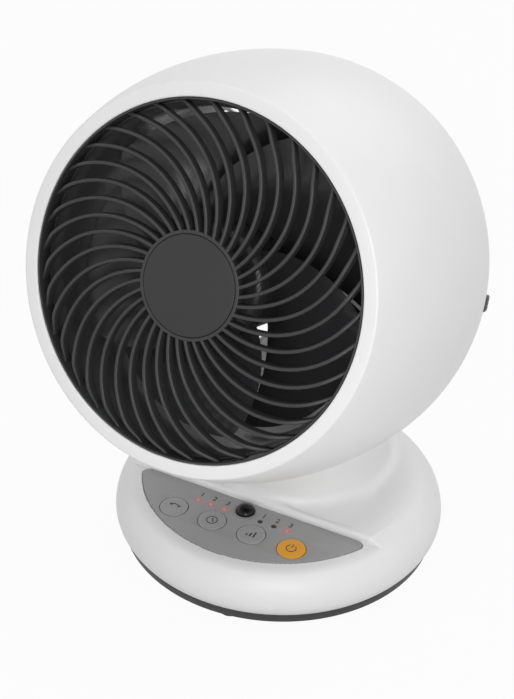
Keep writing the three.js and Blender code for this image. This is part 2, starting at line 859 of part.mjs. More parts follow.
function lightPipe(x) {
  const bottom = boardTop + clearance;
  const profile = [[0, bottom], [ledRadius, bottom], [ledRadius, plateTop], [0, plateTop + 0.3]];
  return placed(turned(profile, screwSteps), [x, ledRow, 0]);
}

function remoteEye() {
  const bottom = boardTop + clearance;
  const dome = steps(0, 90, 4).map((degrees) => {
    const [x, y] = polar(1, degrees);
    return [eyeRadius * x, plateTop + panelProud + eyeDome * y];
  });
  return placed(turned([[0, bottom], [eyeRadius, bottom], ...dome], buttonSteps), [0, eyeRow, 0]);
}

function controlBoard() {
  const middle = (boardFront + boardBack) / 2;
  const level = boardTop - boardThickness / 2;
  const plate = block(boardWidth, boardBack - boardFront, boardThickness, 0, middle, level);
  const sunk = 0.4; // of a switch or chip in the board
  const switches = buttonSpots.map((x) => {
    return block(6, 6, switchHeight + sunk, x, buttonRow, boardTop + (switchHeight - sunk) / 2);
  });
  const chip = block(14, 10, 2, 0, boardFront + 6, boardTop - boardThickness - 1 + sunk);
  return joined(plate, chip, ...switches);
}

// A post on the pan, sunk a little into it.
function panPost(radius, top, x, y) {
  return placed(disc(radius, panBottom + 0.5, top, screwSteps), [x, y, 0]);
}

function basePan() {
  const top = panBottom + panThickness;
  const edge = shellBottomHeight - clearance;
  const chamfer = 1.6;
  const plate = turned([
    [0, panBottom],
    [panRadius - chamfer, panBottom],
    [panRadius, panBottom + chamfer],
    [shellBottomRadius - 0.3, edge],
    [shellBottomRadius - 3.5, edge],
    [shellBottomRadius - 4.5, top],
    [0, top],
  ]);
  const seats = screwAngles.map((angle) => {
    return panPost(bossRadius + 1.5, bossFoot - clearance, ...polar(screwCircle, angle));
  });
  const supports = supportAngles.map((angle) => {
    const [x, y] = polar(supportCircle, angle);
    return panPost(postRadius, bearingTop - bearingThickness - clearance, x, y - headForward);
  });
  const boardPosts = [-1, 1].map((side) => {
    const x = side * (boardWidth / 2 - 4);
    return panPost(postRadius, boardTop - boardThickness - clearance, x, boardPostRow);
  });
  const recesses = atScrews(() => disc(screwHeadRadius + 0.5, 0, panBottom + screwSink, screwSteps));
  return cut(joined(plate, ...seats, ...supports, ...boardPosts), ...recesses, ...bossBores());
}

function panScrew(angle) {
  return placed(screw(13), [...polar(screwCircle, angle), panBottom + screwSink - clearance], [180, 0, 0]);
}

function foot(index) {
  const top = panBottom - clearance;
  const profile = [[0, 0], [footRadius - 0.6, 0], [footRadius, 0.8], [footRadius, top], [0, top]];
  return placed(turned(profile, smallSteps), [...polar(footCircle, footTurn - 90 + 90 * index), 0]);
}

function ballastPlate() {
  const low = panBottom + panThickness + clearance;
  const high = low + ballastThickness;
  const section = [[ballastInner, low], [ballastOuter, low], [ballastOuter, high], [ballastInner, high]];
  const keep = block(3 * ballastOuter, 2 * ballastInner, 4 * high, 0, ballastInner - 10, high);
  return turned(closed(section)).intersect(keep);
}

// A barrel socket for low voltage: a round mouth, a blind bore and the pin in its middle.
function powerInlet() {
  const depth = 10;
  const reach = baseRadius - 0.6;
  const mouth = facingFront(disc(inletRadius, 0, depth));
  const body = block(2 * inletRadius + 3.6, 12, 2 * inletRadius + 0.6, 0, -depth - 1.7, 0);
  const bore = facingFront(disc(inletBore, -1, depth - 2));
  const pin = facingFront(disc(1, 1, depth, screwSteps));
  return placed(joined(cut(joined(mouth, body), bore), pin), [0, reach, inletHeight]);
}

function inletHole() {
  const hole = disc(inletRadius + clearance, -inletRadius, 4 * inletRadius);
  return placed(facingFront(hole), [0, baseRadius, inletHeight]);
}

// ---------- swivel ----------
const gearPitchRadius = (gearModule * gearTeeth) / 2;
const pinionPitchRadius = (gearModule * pinionTeeth) / 2;
const gearDistance = gearPitchRadius + pinionPitchRadius;

// Outline of one tooth as [radius, angle] points about its middle angle.
function toothPoints(pitchRadius) {
  const halfPitch = (Math.PI * gearModule) / 4 - toothBacklash / 2;
  const tip = pitchRadius + 0.8 * gearModule;
  const root = pitchRadius - 1.05 * gearModule;
  const tipHalf = (halfPitch - 0.34 * gearModule) / tip;
  const rootHalf = (halfPitch + 0.3 * gearModule) / root;
  return [[root, -rootHalf], [tip, -tipHalf], [tip, tipHalf], [root, rootHalf]];
}

function toothedOutline(pitchRadius, middles) {
  const points = [];
  middles.forEach((middle) => {
    toothPoints(pitchRadius).forEach(([radius, angle]) => {
      points.push([radius * Math.cos(middle + angle), radius * Math.sin(middle + angle)]);
    });
  });
  return points;
}

function gearSector() {
  const pitchAngle = (2 * Math.PI) / gearTeeth;
  const start = (Math.PI - (sectorTeeth - 1) * pitchAngle) / 2;
  const middles = Array.from({ length: sectorTeeth }, (_, i) => start + i * pitchAngle);
  const root = gearPitchRadius - 1.05 * gearModule;
  const toothed = toothedOutline(gearPitchRadius, middles);
  const last = THREE.MathUtils.radToDeg(middles[sectorTeeth - 1] + pitchAngle / 2);
  const first = THREE.MathUtils.radToDeg(middles[0] - pitchAngle / 2) + 360;
  const plain = steps(last, first, buttonSteps).map((angle) => polar(root, angle));
  return prism([...toothed, ...plain], gearBottom, gearBottom + gearThickness);
}

const postTop = headHeight - trackInner + shoeSocket;
const spigotBottom = bearingTop - bearingThickness - 1;

function turret() {
  const columnTop = headHeight - headRadius - cupGap - columnSink;
  const sink = 4; // the post starts inside the column
  const postHeight = postTop - columnTop + sink;
  const column = disc(columnRadius, gearBottom + gearThickness - 1, columnTop, innerSteps);
  const spigot = disc(spigotRadius, spigotBottom, gearBottom + 1, innerSteps);
  const post = block(2 * postHalfWidth, 2 * postHalfLength, postHeight, 0, 0, postTop - postHeight / 2);
  const topBore = disc(screwHole, postTop - screwBoreDepth, postTop + 1, screwSteps);
  const lowBore = disc(screwHole, 0, spigotBottom + screwBoreDepth, screwSteps);
  return placed(cut(joined(gearSector(), column, spigot, post), topBore, lowBore), [0, -headForward, 0]);
}

// The shoe is drawn about the tilt axis and stays upright while the head turns round it.
function tiltShoe() {
  const arc = underArc(shoeInner, shoeOuter, 90 - shoeHalfAngle, 90 + shoeHalfAngle, shoeHalfWidth, 6);
  const width = 2 * (postHalfWidth + clearance);
  const length = 2 * (postHalfLength + clearance);
  const socketTop = postTop + clearance - headHeight;
  const socket = block(width, length, 2 * postHalfLength, 0, 0, socketTop - postHalfLength);
  const bore = disc(screwHole, -headHeight, 0, screwSteps);
  return placed(cut(arc, socket, bore), [0, -headForward, headHeight]);
}

function shoeScrew() {
  const seat = headHeight - shoeInner + clearance;
  return placed(screw(12), [0, -headForward, seat]);
}

function turretWasher() {
  const top = spigotBottom - clearance;
  const washer = disc(spigotRadius + 2.3, top - washerThickness, top, buttonSteps);
  return placed(cut(washer, disc(screwHole, 0, gearBottom, screwSteps)), [0, -headForward, 0]);
}

function turretScrew() {
  const seat = spigotBottom - washerThickness - 2 * clearance;
  return placed(screw(12), [0, -headForward, seat], [180, 0, 0]);
}

function bearingRing() {
  const low = bearingTop - bearingThickness;
  const inner = spigotRadius + clearance;
  const ring = [[inner, low], [bearingOuter, low], [bearingOuter, bearingTop], [inner, bearingTop]];
  return placed(turned(closed(ring), innerSteps), [0, -headForward, 0]);
}

function swivelPinion() {
  const pitchAngle = (2 * Math.PI) / pinionTeeth;
  const first = (pitchAngle - Math.PI) / 2; // a gap, not a tooth, faces the gear sector
  const middles = Array.from({ length: pinionTeeth }, (_, i) => first + i * pitchAngle);
  const face = 0.5; // wider than the sector on both sides
  const wheel = prism(
    toothedOutline(pinionPitchRadius, middles),
    gearBottom - face,
    gearBottom + gearThickness + face,
  );
  const hub = disc(2.6, stepperTop + clearance, gearBottom);
  return placed(joined(wheel, hub), [0, gearDistance - headForward, 0]);
}

function swivelMotor() {
  const low = panBottom + panThickness + clearance;
  const edge = 1;
  const body = turned([
    [0, low],
    [stepperRadius, low],
    [stepperRadius, stepperTop - edge],
    [stepperRadius - edge, stepperTop],
    [0, stepperTop],
  ], motorSteps);
  return placed(body, [0, gearDistance - headForward, 0]);
}

// ---------- assembly ----------
const fan = new THREE.Group();
fan.name = "air_circulator_fan";
const base = new THREE.Group();
const head = new THREE.Group();
head.position.set(0, -headForward, headHeight);
head.rotation.x = -restTilt;
base.add(head);
fan.add(base);

function addAll(group, pieces) {
  pieces.forEach(([name, body, material]) => group.add(mesh(name, body, material)));
}

addAll(base, [
  ["base_shell", baseShell(), whitePlastic],
  ["base_pan", basePan(), darkPlastic],
  ["panel_plate", panelPlate(), panelPlastic],
  ["remote_eye", remoteEye(), lensBlack],
  ["control_board", controlBoard(), boardGreen],
  ["ballast_plate", ballastPlate(), steel],
  ["power_inlet", powerInlet(), blackPlastic],
  ["bearing_ring", bearingRing(), gearPlastic],
  ["swivel_motor", swivelMotor(), motorSteel],
  ["swivel_pinion", swivelPinion(), gearPlastic],
  ["turret", turret(), gearPlastic],
  ["turret_washer", turretWasher(), steel],
  ["turret_screw", turretScrew(), steel],
  ["tilt_shoe", tiltShoe(), gearPlastic],
  ["shoe_screw", shoeScrew(), steel],
]);

const buttonNames = ["swing_button", "timer_button", "speed_button", "power_button"];
buttonNames.forEach((name, i) => {
  const material = name === "power_button" ? powerPlastic : buttonPlastic;
  base.add(mesh(name, button(buttonSpots[i]), material));
});

const ledsOn = [true, true, true, false, false, true];
ledSpots.forEach((x, i) => {
  base.add(mesh(`light_pipe_${i + 1}`, lightPipe(x), ledsOn[i] ? ledLit : ledDark));
});

const corners = ["front", "right", "back", "left"];
corners.forEach((corner, i) => {
  base.add(mesh(`foot_${corner}`, foot(i), footRubber));
});

screwAngles.forEach((angle, i) => {
  base.add(mesh(`pan_screw_${i + 1}`, panScrew(angle), steel));
});

addAll(head, [
  ["front_shell", frontShell(), whitePlastic],
  ["rear_guard", rearGuard(), whitePlastic],
  ["guard_latch_left", guardLatch(-1), darkPlastic],
  ["guard_latch_right", guardLatch(1), darkPlastic],
  ["front_grille", frontGrille(), darkPlastic],
  ["grille_cap", grilleCap(), darkPlastic],
  ["air_duct", airDuct(), blackPlastic],
  ["motor_frame", motorFrame(), blackPlastic],
  ["motor_can", motorCan(), motorSteel],
  ["motor_shaft", motorShaft(), steel],
  ["impeller", impeller(), smokedPlastic],
  ["impeller_nut", impellerNut(), blackPlastic],
]);

armAngles.forEach((angle, i) => {
  head.add(mesh(`frame_screw_${i + 1}`, frameScrew(angle), steel));
});

motorScrewAngles.forEach((angle, i) => {
  head.add(mesh(`motor_screw_${i + 1}`, motorScrew(angle), steel));
});

// The origin is the middle of the whole fan's footprint on the table.
fan.updateMatrixWorld(true);
const reach = new THREE.Box3().setFromObject(fan, true);
base.position.y = -(reach.min.y + reach.max.y) / 2;

export default fan;
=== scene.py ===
"""The looks of the air circulator fan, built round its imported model.

Metres, +Z up, the fan blows towards -Y. Sizes are written in millimetres and multiplied by MM.
Pieces of the head are drawn in the head's own axes: across, up and ahead of the ball's centre.
Pieces of the base are drawn about the base's own upright axis.
"""
import functools
import itertools
import json
from math import acos, asin, atan2, cos, degrees, pi, radians, sin, sqrt, tan

import bmesh
import bpy
import numpy as np
from mathutils import Matrix, Vector


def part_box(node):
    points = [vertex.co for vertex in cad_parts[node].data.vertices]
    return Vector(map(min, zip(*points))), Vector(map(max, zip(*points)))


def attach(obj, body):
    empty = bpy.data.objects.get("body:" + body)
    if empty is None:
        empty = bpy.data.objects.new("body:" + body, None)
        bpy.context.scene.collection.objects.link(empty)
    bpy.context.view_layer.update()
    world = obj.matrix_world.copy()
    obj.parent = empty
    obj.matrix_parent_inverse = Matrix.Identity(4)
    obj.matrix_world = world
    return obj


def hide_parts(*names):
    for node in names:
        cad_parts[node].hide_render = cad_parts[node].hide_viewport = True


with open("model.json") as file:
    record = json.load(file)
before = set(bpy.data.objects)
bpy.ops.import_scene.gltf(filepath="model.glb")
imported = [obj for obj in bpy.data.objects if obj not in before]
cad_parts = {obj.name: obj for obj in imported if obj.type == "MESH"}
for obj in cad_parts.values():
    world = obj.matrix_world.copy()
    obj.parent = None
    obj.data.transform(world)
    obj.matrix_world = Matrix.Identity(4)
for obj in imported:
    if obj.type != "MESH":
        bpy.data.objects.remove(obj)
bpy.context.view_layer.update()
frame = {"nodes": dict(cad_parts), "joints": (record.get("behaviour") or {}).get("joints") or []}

MM = 0.001


def middle(node):
    low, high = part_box(node)
    return (low + high) / 2


def head_axes():
    """The head's axes stand in its centre, on the line that the impeller turns about."""
    spin = next(joint for joint in frame["joints"] if joint["name"] == "fan_spin")
    ahead = Vector(spin["axis"]).normalized()
    across = Vector((1, 0, 0))
    turn = Matrix((across, ahead.cross(across), ahead)).transposed()
    return Matrix.Translation(spin["pos_m"]) @ turn.to_4x4() @ Matrix.Scale(MM, 4)


HEAD = head_axes()
BASE_SHIFT = middle("base_pan").y / MM
BASE = Matrix.Translation((0, BASE_SHIFT * MM, 0)) @ Matrix.Scale(MM, 4)

# ------ sizes, in millimetres and degrees ------
CLEARANCE = 0.3
WALL = 2.4
SHARP = 32

# front of the head
BALL = 111.48
HEAD_DEPTH = 99.8
RING_RADIUS = 94.0
OPENING = 87.2
BARREL_POWER = 2.4
LIP = 92.0
SEAM = -25.0
SEAM_EDGE = 0.7
SLOT_HALF = 7.0
SLOT_FROM, SLOT_TO = 84, 156

# grille
GRILLE_FACE = 101.0
GRILLE_RING = 86.9
SLEEVE = 0.9
FLANGE = 3.5
FLANGE_THICK = 2
RIB_COUNT = 37
RIB_WIDTH = 1.8
RIB_DEPTH = 5.5
RIB_DROP = 4.6
RIB_BEND = 8.5
RIB_START, RIB_SWEEP, RIB_CURL = 2.5, 33.4, 10.5
HUB = 26.5
CAP = 24.5
CAP_SEAT = 2

# rear guard and its latches
GUARD = 110.3
GUARD_THICK = 2.6
GUARD_RIBS = 44
GUARD_RIB_WIDTH = 2.2
GUARD_DISC = 30
HOOP = 5
NOTCH_HALF = 4.8
KEEL_HALF = 22
LATCH_AHEAD = -27.5
LATCH_ROOT = 100.5
LATCH_PROUD = 1.2

# inside the head
DUCT = 83.0
DUCT_WALL = 2
DUCT_MOUTH = 90.9
DUCT_BACK = -18.4
DUCT_THROAT = 30
DUCT_LIP = 2.4
FAN_RADIUS = 80
FAN_HUB = 29
FAN_BORE = 3
FAN_BACK, FAN_FRONT = 38, 80
BLADES = 5
BLADE_PHASE = -3
BLADE_CHORD = 98
BLADE_TAPER = 21
BLADE_SWEEP = 38
BLADE_SWELL = 0.85
BLADE_DEPTH = 36
BLADE_CAMBER = 4
BLADE_THICK = 1.8
NUT = 7
NUT_BACK, NUT_FRONT = 77.3, 89
MOTOR = 30
MOTOR_BACK, MOTOR_FRONT = -21.2, 26
MOTOR_BOSS = 9
BOSS_FRONT = 31
SHAFT_HOLE = 3.4
SPIDER_FRONT, SPIDER_BACK = -18.7, -24.7
TRACK_INNER, TRACK_OUTER = 101.8, 105.6

# base, its heights above the floor
CROWN_RADIUS = 77
BULGE_HEIGHT = 17
RIM_TUBE = 22.1
BASE_RADIUS = 99.1
DISH = 37.4
SKIRT = 8.7
SKIRT_TAPER = 3.6
BEAD, BEAD_END = 2.0, 89.5
NECK = 56
NECK_TAPER = 7
NECK_TOE = 7
NECK_HEIGHT = 69.7
NECK_BEHIND = 25.5
NECK_LEAN = 8
NECK_FLOOR, NECK_TOP = DISH - 12, 110
BALL_HEIGHT = 182.6
BALL_AHEAD = 8
CUP = BALL + 2.7
STEM_HOLE = 13
STEM_FLOOR, STEM_TOP = 40, 90
PAN_RADIUS = 95.5
PAN_BOTTOM, PAN_FLOOR, PAN_TOP = 2.8, 4.8, 8.4
PAN_SCREWS = 80
SCREW_HOLE = 3.5
SOCKET = 5.2
SOCKET_END = 80

# control panel
PANEL = 35.2
PANEL_DEEP = 4.5
PLATE_TOP = 35.4
PLATE_THICK = 1.8
PLATE_RADIUS = 82.5
PLATE_CHORD = -35.5
PLATE_TIP = 4
TIP_REACH = PLATE_RADIUS - PLATE_TIP
TIP_Y = PLATE_CHORD - PLATE_TIP
TIP_X = sqrt(TIP_REACH ** 2 - TIP_Y ** 2)
WALL_LINE = PLATE_CHORD + 1
HOLE_FLOOR = 28
BUTTON_RADIUS = 8.2
BUTTON_GAP = 0.35
BUTTON_TOP = PLATE_TOP + 0.5
BUTTON_ROW = -60
BUTTONS = {"swing": -38.1, "timer": -12.7, "speed": 12.7, "power": 38.1}
PRINT_LOW, PRINT_HIGH = BUTTON_TOP - 0.2, BUTTON_TOP + 0.03
PRINT_LINE = 0.5
LED_RADIUS = 1.4
LED_ROW = -47.5
LEDS = [-29.1, -20.7, -11.9, 11.9, 20.7, 29.1]
LED_LIT = [True, True, True, False, False, True]
DIGIT = 5.2
DIGIT_WEIGHT = 0.07
PIPE_FLOOR = 26
EYE_RADIUS = 5.6
EYE_ROW = -43.1
EYE_DOME = 3.4


# ------ shapes ------
def steps(start, end, count):
    return [start + (end - start) * i / count for i in range(count + 1)]


def smoothstep(t):
    t = min(max(t, 0), 1)
    return t * t * (3 - 2 * t)


def polar(radius, angle, x=0, y=0):
    """A point in the plane by its distance and direction from (x, y)."""
    return x + radius * cos(angle), y + radius * sin(angle)


def filleted(corners, closed=False, count=5):
    """A profile of (x, y, radius) corners, each rounded by its radius."""
    result = []
    for i, (x, y, radius) in enumerate(corners):
        here = Vector((x, y))
        if not radius or (not closed and i in (0, len(corners) - 1)):
            result.append((x, y))
            continue
        back = (Vector(corners[i - 1][:2]) - here).normalized()
        on = (Vector(corners[(i + 1) % len(corners)][:2]) - here).normalized()
        half = back.angle(on) / 2
        centre = here + (back + on).normalized() * (radius / sin(half))
        first = here + back * (radius / tan(half)) - centre
        last = here + on * (radius / tan(half)) - centre
        start = atan2(first.y, first.x)
        sweep = atan2(last.y, last.x) - start
        sweep = (sweep + pi) % (2 * pi) - pi
        result += [polar(radius, start + sweep * t, *centre) for t in steps(0, 1, count)]
    return result


def round_angles(count):
    return [2 * pi * i / count for i in range(count)]


def skin(rows, closed=False):
    """Faces between rings of point numbers and, if closed, between the last and the first."""
    faces = []
    for low, high in zip(rows, rows[1:] + (rows[:1] if closed else [])):
        for corners in zip(low, low[1:] + low[:1], high[1:] + high[:1], high):
            corners = list(dict.fromkeys(corners))
            if len(corners) > 2:
                faces.append(corners)
    return faces


def lathe(profile, count=128, closed=False, angles=None):
    """Points and faces of a profile of (radius, height) turned about Z, evenly or by the angles."""
    points, rows = [], []
    angles = angles or round_angles(count)
    count = len(angles)
    for radius, height in profile:
        start = len(points)
        if radius < 1e-6:
            rows.append([start] * count)
            points.append((0, 0, height))
        else:
            rows.append(list(range(start, start + count)))
            points += [(*polar(radius, a), height) for a in angles]
    return points, skin(rows, closed)


def loft(rings):
    """A closed skin through rings of equally many points, with both ends capped."""
    size = len(rings[0])
    points = [point for ring in rings for point in ring]
    rows = [list(range(i * size, (i + 1) * size)) for i in range(len(rings))]
    return points, [rows[0], rows[-1], *skin(rows)]


def walled(outer, inner, is_open=lambda row, column: False, loop=False, capped=True):
    """The wall between two grids of points, ended round open cells and, if capped, after the last row."""
    rows, columns = len(outer), len(outer[0])
    points = [p for row in outer for p in row] + [p for row in inner for p in row]
    under = rows * columns
    spans = columns if loop else columns - 1

    def corner(row, column):
        return row * columns + column % columns

    def solid(row, column):
        exists = 0 <= row < rows - 1 and (loop or 0 <= column < spans)
        return exists and not is_open(row, column % spans)

    faces = []
    for row, column in itertools.product(range(rows - 1), range(spans)):
        if not solid(row, column):
            continue
        a, b = corner(row, column), corner(row, column + 1)
        c, d = corner(row + 1, column + 1), corner(row + 1, column)
        faces += [[a, b, c, d], [a + under, d + under, c + under, b + under]]
        sides = [((row - 1, column), a, b), ((row + 1, column), c, d)]
        sides += [((row, column + 1), b, c), ((row, column - 1), d, a)]
        for neighbour, start, end in sides:
            past_end = neighbour[0] > rows - 2 and not capped
            if not past_end and not solid(*neighbour):
                faces.append([start, start + under, end + under, end])
    return points, faces


def together(*shapes):
    points, faces = [], []
    for more, rings in shapes:
        shift = len(points)
        points += list(more)
        faces += [[i + shift for i in face] for face in rings]
    return points, faces


def turned(shape, angle):
    c, s = polar(1, radians(angle))
    points, faces = shape
    return [(x * c - y * s, x * s + y * c, z) for x, y, z in points], faces


def shifted(shape, x=0, y=0, z=0):
    points, faces = shape
    return [(px + x, py + y, pz + z) for px, py, pz in points], faces


def around(shape, count, start=0):
    return together(*(turned(shape, start + 360 * i / count) for i in range(count)))


def added(name, data):
    thing = bpy.data.objects.new(name, data)
    bpy.context.scene.collection.objects.link(thing)
    return thing


def mesh_of(name, shape, place, distance):
    """A mesh with its close points merged and its faces turned outward."""
    points, faces = shape
    mesh = bpy.data.meshes.new(name)
    mesh.from_pydata([tuple(p) for p in points], [], faces)
    mesh.transform(place)
    work = bmesh.new()
    work.from_mesh(mesh)
    bmesh.ops.remove_doubles(work, verts=work.verts, dist=distance)
    loose = [v for v in work.verts if not v.link_faces]
    bmesh.ops.delete(work, geom=loose, context="VERTS")
    bmesh.ops.recalc_face_normals(work, faces=work.faces)
    work.to_mesh(mesh)
    work.free()
    return mesh


def applied(thing):
    """A mesh of an object as its modifiers or its curve's depth make it."""
    bpy.context.view_layer.update()
    return bpy.data.meshes.new_from_object(thing.evaluated_get(bpy.context.evaluated_depsgraph_get()))


def settle(thing, body, slot, nodes=(), material=None):
    """Gives a piece its finish, its body and the nodes that it stands for."""
    thing.data.materials.clear()
    thing.data.materials.append(material or MATERIALS[slot])
    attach(thing, body)
    if nodes:
        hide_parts(*nodes)
    return thing


def piece(name, shape, place, body, slot, nodes=(), sharp=SHARP, material=None):
    """A mesh of its own, in the slot's material or another one."""
    mesh = mesh_of(name, shape, place, 2e-6)
    mesh.shade_smooth()
    mesh.set_sharp_from_angle(angle=radians(sharp))
    return settle(added(name, mesh), body, slot, nodes, material)


def cut_by(thing, shape, place):
    """Cuts a shape out of a piece for good."""
    tool = added("cutter", mesh_of("cutter", shape, place, 1e-6))
    modifier = thing.modifiers.new("cut", "BOOLEAN")
    modifier.operation = "DIFFERENCE"
    modifier.solver = "EXACT"
    modifier.object = tool
    result = applied(thing)
    thing.modifiers.clear()
    thing.data = result
    bpy.data.objects.remove(tool)
    result.set_sharp_from_angle(angle=radians(SHARP))


def curve_shape(curve, low, high, x=0, y=0):
    """Points and faces of a flat curve that is thickened between two heights."""
    thing = added(curve.name, curve)
    mesh = applied(thing)
    points = [(v.co.x + x, v.co.y + y, v.co.z + (low + high) / 2) for v in mesh.vertices]
    faces = [list(face.vertices) for face in mesh.polygons]
    bpy.data.objects.remove(thing)
    bpy.data.meshes.remove(mesh)
    return points, faces


def plate_shape(outlines, low, high, bevel):
    """A flat plate inside the first outline, without the others, its edges bevelled."""
    curve = bpy.data.curves.new("plate", "CURVE")
    curve.dimensions = "2D"
    curve.fill_mode = "BOTH"
    curve.extrude = (high - low) / 2 - bevel
    curve.bevel_depth = bevel
    curve.bevel_resolution = 2
    curve.offset = -bevel
    for outline in outlines:
        spline = curve.splines.new("POLY")
        spline.points.add(len(outline) - 1)
        for point, (x, y) in zip(spline.points, outline):
            point.co = (x, y, 0, 1)
        spline.use_cyclic_u = True
    return curve_shape(curve, low, high)


def circle(radius, x, y, count):
    return [polar(radius, a, x, y) for a in round_angles(count)]


def arc_line(radius, start, end, count, x=0, y=0):
    return [polar(radius, radians(a), x, y) for a in steps(start, end, count)]


def ribbon(line, width, low, high, closed=False):
    """A flat printed line of even width along points in the XY plane."""
    rings = []
    count = len(line)
    for i, (x, y) in enumerate(line):
        before = line[i - 1] if closed or i else line[i]
        after = line[(i + 1) % count] if closed or i < count - 1 else line[i]
        along = Vector((after[0] - before[0], after[1] - before[1])).normalized()
        side = Vector((-along.y, along.x)) * width / 2
        left, right = (x + side.x, y + side.y), (x - side.x, y - side.y)
        rings.append([(*left, low), (*right, low), (*right, high), (*left, high)])
    if not closed:
        return loft(rings)
    points, faces = loft(rings + [rings[0]])
    return points, faces[2:]


# ------ fields ------
def soft_union(a, b, blend):
    share = np.clip(0.5 + 0.5 * (b - a) / blend, 0, 1)
    return b * (1 - share) + a * share - blend * share * (1 - share)


def soft_common(a, b, blend):
    return -soft_union(-a, -b, blend)


def gradient(distance, points, reach=0.05):
    result = np.empty_like(points)
    for axis in range(3):
        step = np.zeros(3)
        step[axis] = reach
        ahead, back = points + step, points - step
        result[:, axis] = (distance(*ahead.T) - distance(*back.T)) / (2 * reach)
    return result


def drawn_on(distance, points, rounds=3):
    """Moves points along the field's gradient onto its surface."""
    for _ in range(rounds):
        slope = gradient(distance, points)
        size = np.maximum((slope ** 2).sum(axis=1), 0.05)
        points = points - slope * (distance(*points.T) / size)[:, None]
    return points


def net(distance, low, high, cell):
    """The surface of a distance field as quads with their points and outward directions."""
    axes = [np.arange(a, b + cell, cell) for a, b in zip(low, high)]
    inside = distance(*np.meshgrid(*axes, indexing="ij", sparse=True)) < 0
    cells = [size - 1 for size in inside.shape]
    total = np.zeros(cells, np.int8)
    for offset in itertools.product((0, 1), repeat=3):
        total += inside[tuple(slice(o, o + size) for o, size in zip(offset, cells))]
    active = (total > 0) & (total < 8)
    index = np.full(cells, -1)
    index[active] = np.arange(active.sum())
    points = (np.argwhere(active) + 0.5) * cell + np.array(low)
    quads = []
    for axis in range(3):
        side, other = (axis + 1) % 3, (axis + 2) % 3
        lower = np.take(inside, range(inside.shape[axis] - 1), axis)
        upper = np.take(inside, range(1, inside.shape[axis]), axis)
        edges = np.argwhere(lower != upper)
        fits = [(edges[:, a] > 0) & (edges[:, a] < cells[a]) for a in (side, other)]
        edges = edges[fits[0] & fits[1]]
        corners = []
        for back_side, back_other in ((1, 1), (0, 1), (0, 0), (1, 0)):
            at = edges.copy()
            at[:, side] -= back_side
            at[:, other] -= back_other
            corners.append(index[tuple(at.T)])
        found = np.stack(corners, axis=1)
        outward = lower[tuple(edges.T)]
        quads.append(np.where(outward[:, None], found, found[:, ::-1]))
    quads = np.concatenate(quads)
    points = drawn_on(distance, points)
    for _ in range(2):
        points = drawn_on(distance, relaxed(points, quads), 2)
    return points, quads, gradient(distance, points)


def relaxed(points, quads):
    """Each point moved halfway to the middle of its neighbours."""
    total = np.zeros_like(points)
    count = np.zeros(len(points))
    for a, b in ((0, 1), (1, 2), (2, 3), (3, 0)):
        for start, end in ((quads[:, a], quads[:, b]), (quads[:, b], quads[:, a])):
            for axis in range(3):
                total[:, axis] += np.bincount(start, points[end, axis], len(points))
            count += np.bincount(start, minlength=len(points))
    return (points + total / np.maximum(count, 1)[:, None]) / 2


# ------ materials ------
def linear(hexadecimal):
    channels = [int(hexadecimal[i:i + 2], 16) / 255 for i in (0, 2, 4)]
    return [c / 12.92 if c <= 0.04045 else ((c + 0.055) / 1.055) ** 2.4 for c in channels]


class Nodes:
    """Adds and links the shader nodes of a material or the world."""

    def __init__(self, owner):
        owner.use_nodes = True
        self.tree = owner.node_tree
        self.shader = self.tree.nodes.get("Principled BSDF")

    @functools.cached_property
    def place(self):
        return self.tree.nodes.new("ShaderNodeTexCoord").outputs["Object"]

    def add(self, kind, **inputs):
        node = self.tree.nodes.new(kind)
        for name, value in inputs.items():
            self.put(node.inputs[name.replace("_", " ")], value)
        return node

    def put(self, socket, value):
        if isinstance(value, bpy.types.NodeSocket):
            self.tree.links.new(value, socket)
        else:
            socket.default_value = value

    def noise(self, scale, detail):
        return self.add(
            "ShaderNodeTexNoise", Vector=self.place, Scale=scale, Detail=detail, Roughness=0.55
        ).outputs["Fac"]

    def maths(self, operation, first, second):
        node = self.tree.nodes.new("ShaderNodeMath")
        node.operation = operation
        self.put(node.inputs[0], first)
        self.put(node.inputs[1], second)
        return node.outputs[0]

    def ranged(self, value, low, high, start=0.3, end=0.7):
        return self.add(
            "ShaderNodeMapRange", Value=value, From_Min=start, From_Max=end, To_Min=low, To_Max=high
        ).outputs[0]

    def mixed(self, share, first, second):
        node = self.tree.nodes.new("ShaderNodeMix")
        node.data_type = "RGBA"
        self.put(node.inputs[0], share)
        for socket, value in ((node.inputs[6], first), (node.inputs[7], second)):
            self.put(socket, value if isinstance(value, bpy.types.NodeSocket) else (*value, 1))
        return node.outputs[2]

    def bump(self, height, strength, distance, normal=None):
        node = self.add("ShaderNodeBump", Height=height, Strength=strength, Distance=distance)
        if normal:
            self.put(node.inputs["Normal"], normal)
        return node.outputs["Normal"]


def moulded(name, color, roughness, spread=0.05, grain=1400, depth=0.05, specular=0.5, metal=0, coat=0):
    """Moulded plastic or metal: a slow drift of colour and gloss, and a fine grain in the surface."""
    material = bpy.data.materials.new(name)
    nodes = Nodes(material)
    base = linear(color)
    pale = [min(1, c * (1 + spread)) for c in base]
    deep = [c * (1 - spread) for c in base]
    drift = nodes.noise(26.0, 4.0)
    nodes.put(nodes.shader.inputs["Base Color"], nodes.mixed(nodes.ranged(drift, 0, 1), deep, pale))
    speckle = nodes.noise(420.0, 2.0)
    nodes.put(nodes.shader.inputs["Roughness"], nodes.ranged(speckle, roughness * 0.9, roughness * 1.1))
    fine = nodes.bump(nodes.noise(grain, 2.0), depth, 0.0001)
    nodes.put(nodes.shader.inputs["Normal"], nodes.bump(drift, 0.02, 0.002, fine))
    for socket, value in (("Specular IOR Level", specular), ("Metallic", metal), ("Coat Weight", coat)):
        nodes.shader.inputs[socket].default_value = value
    return material


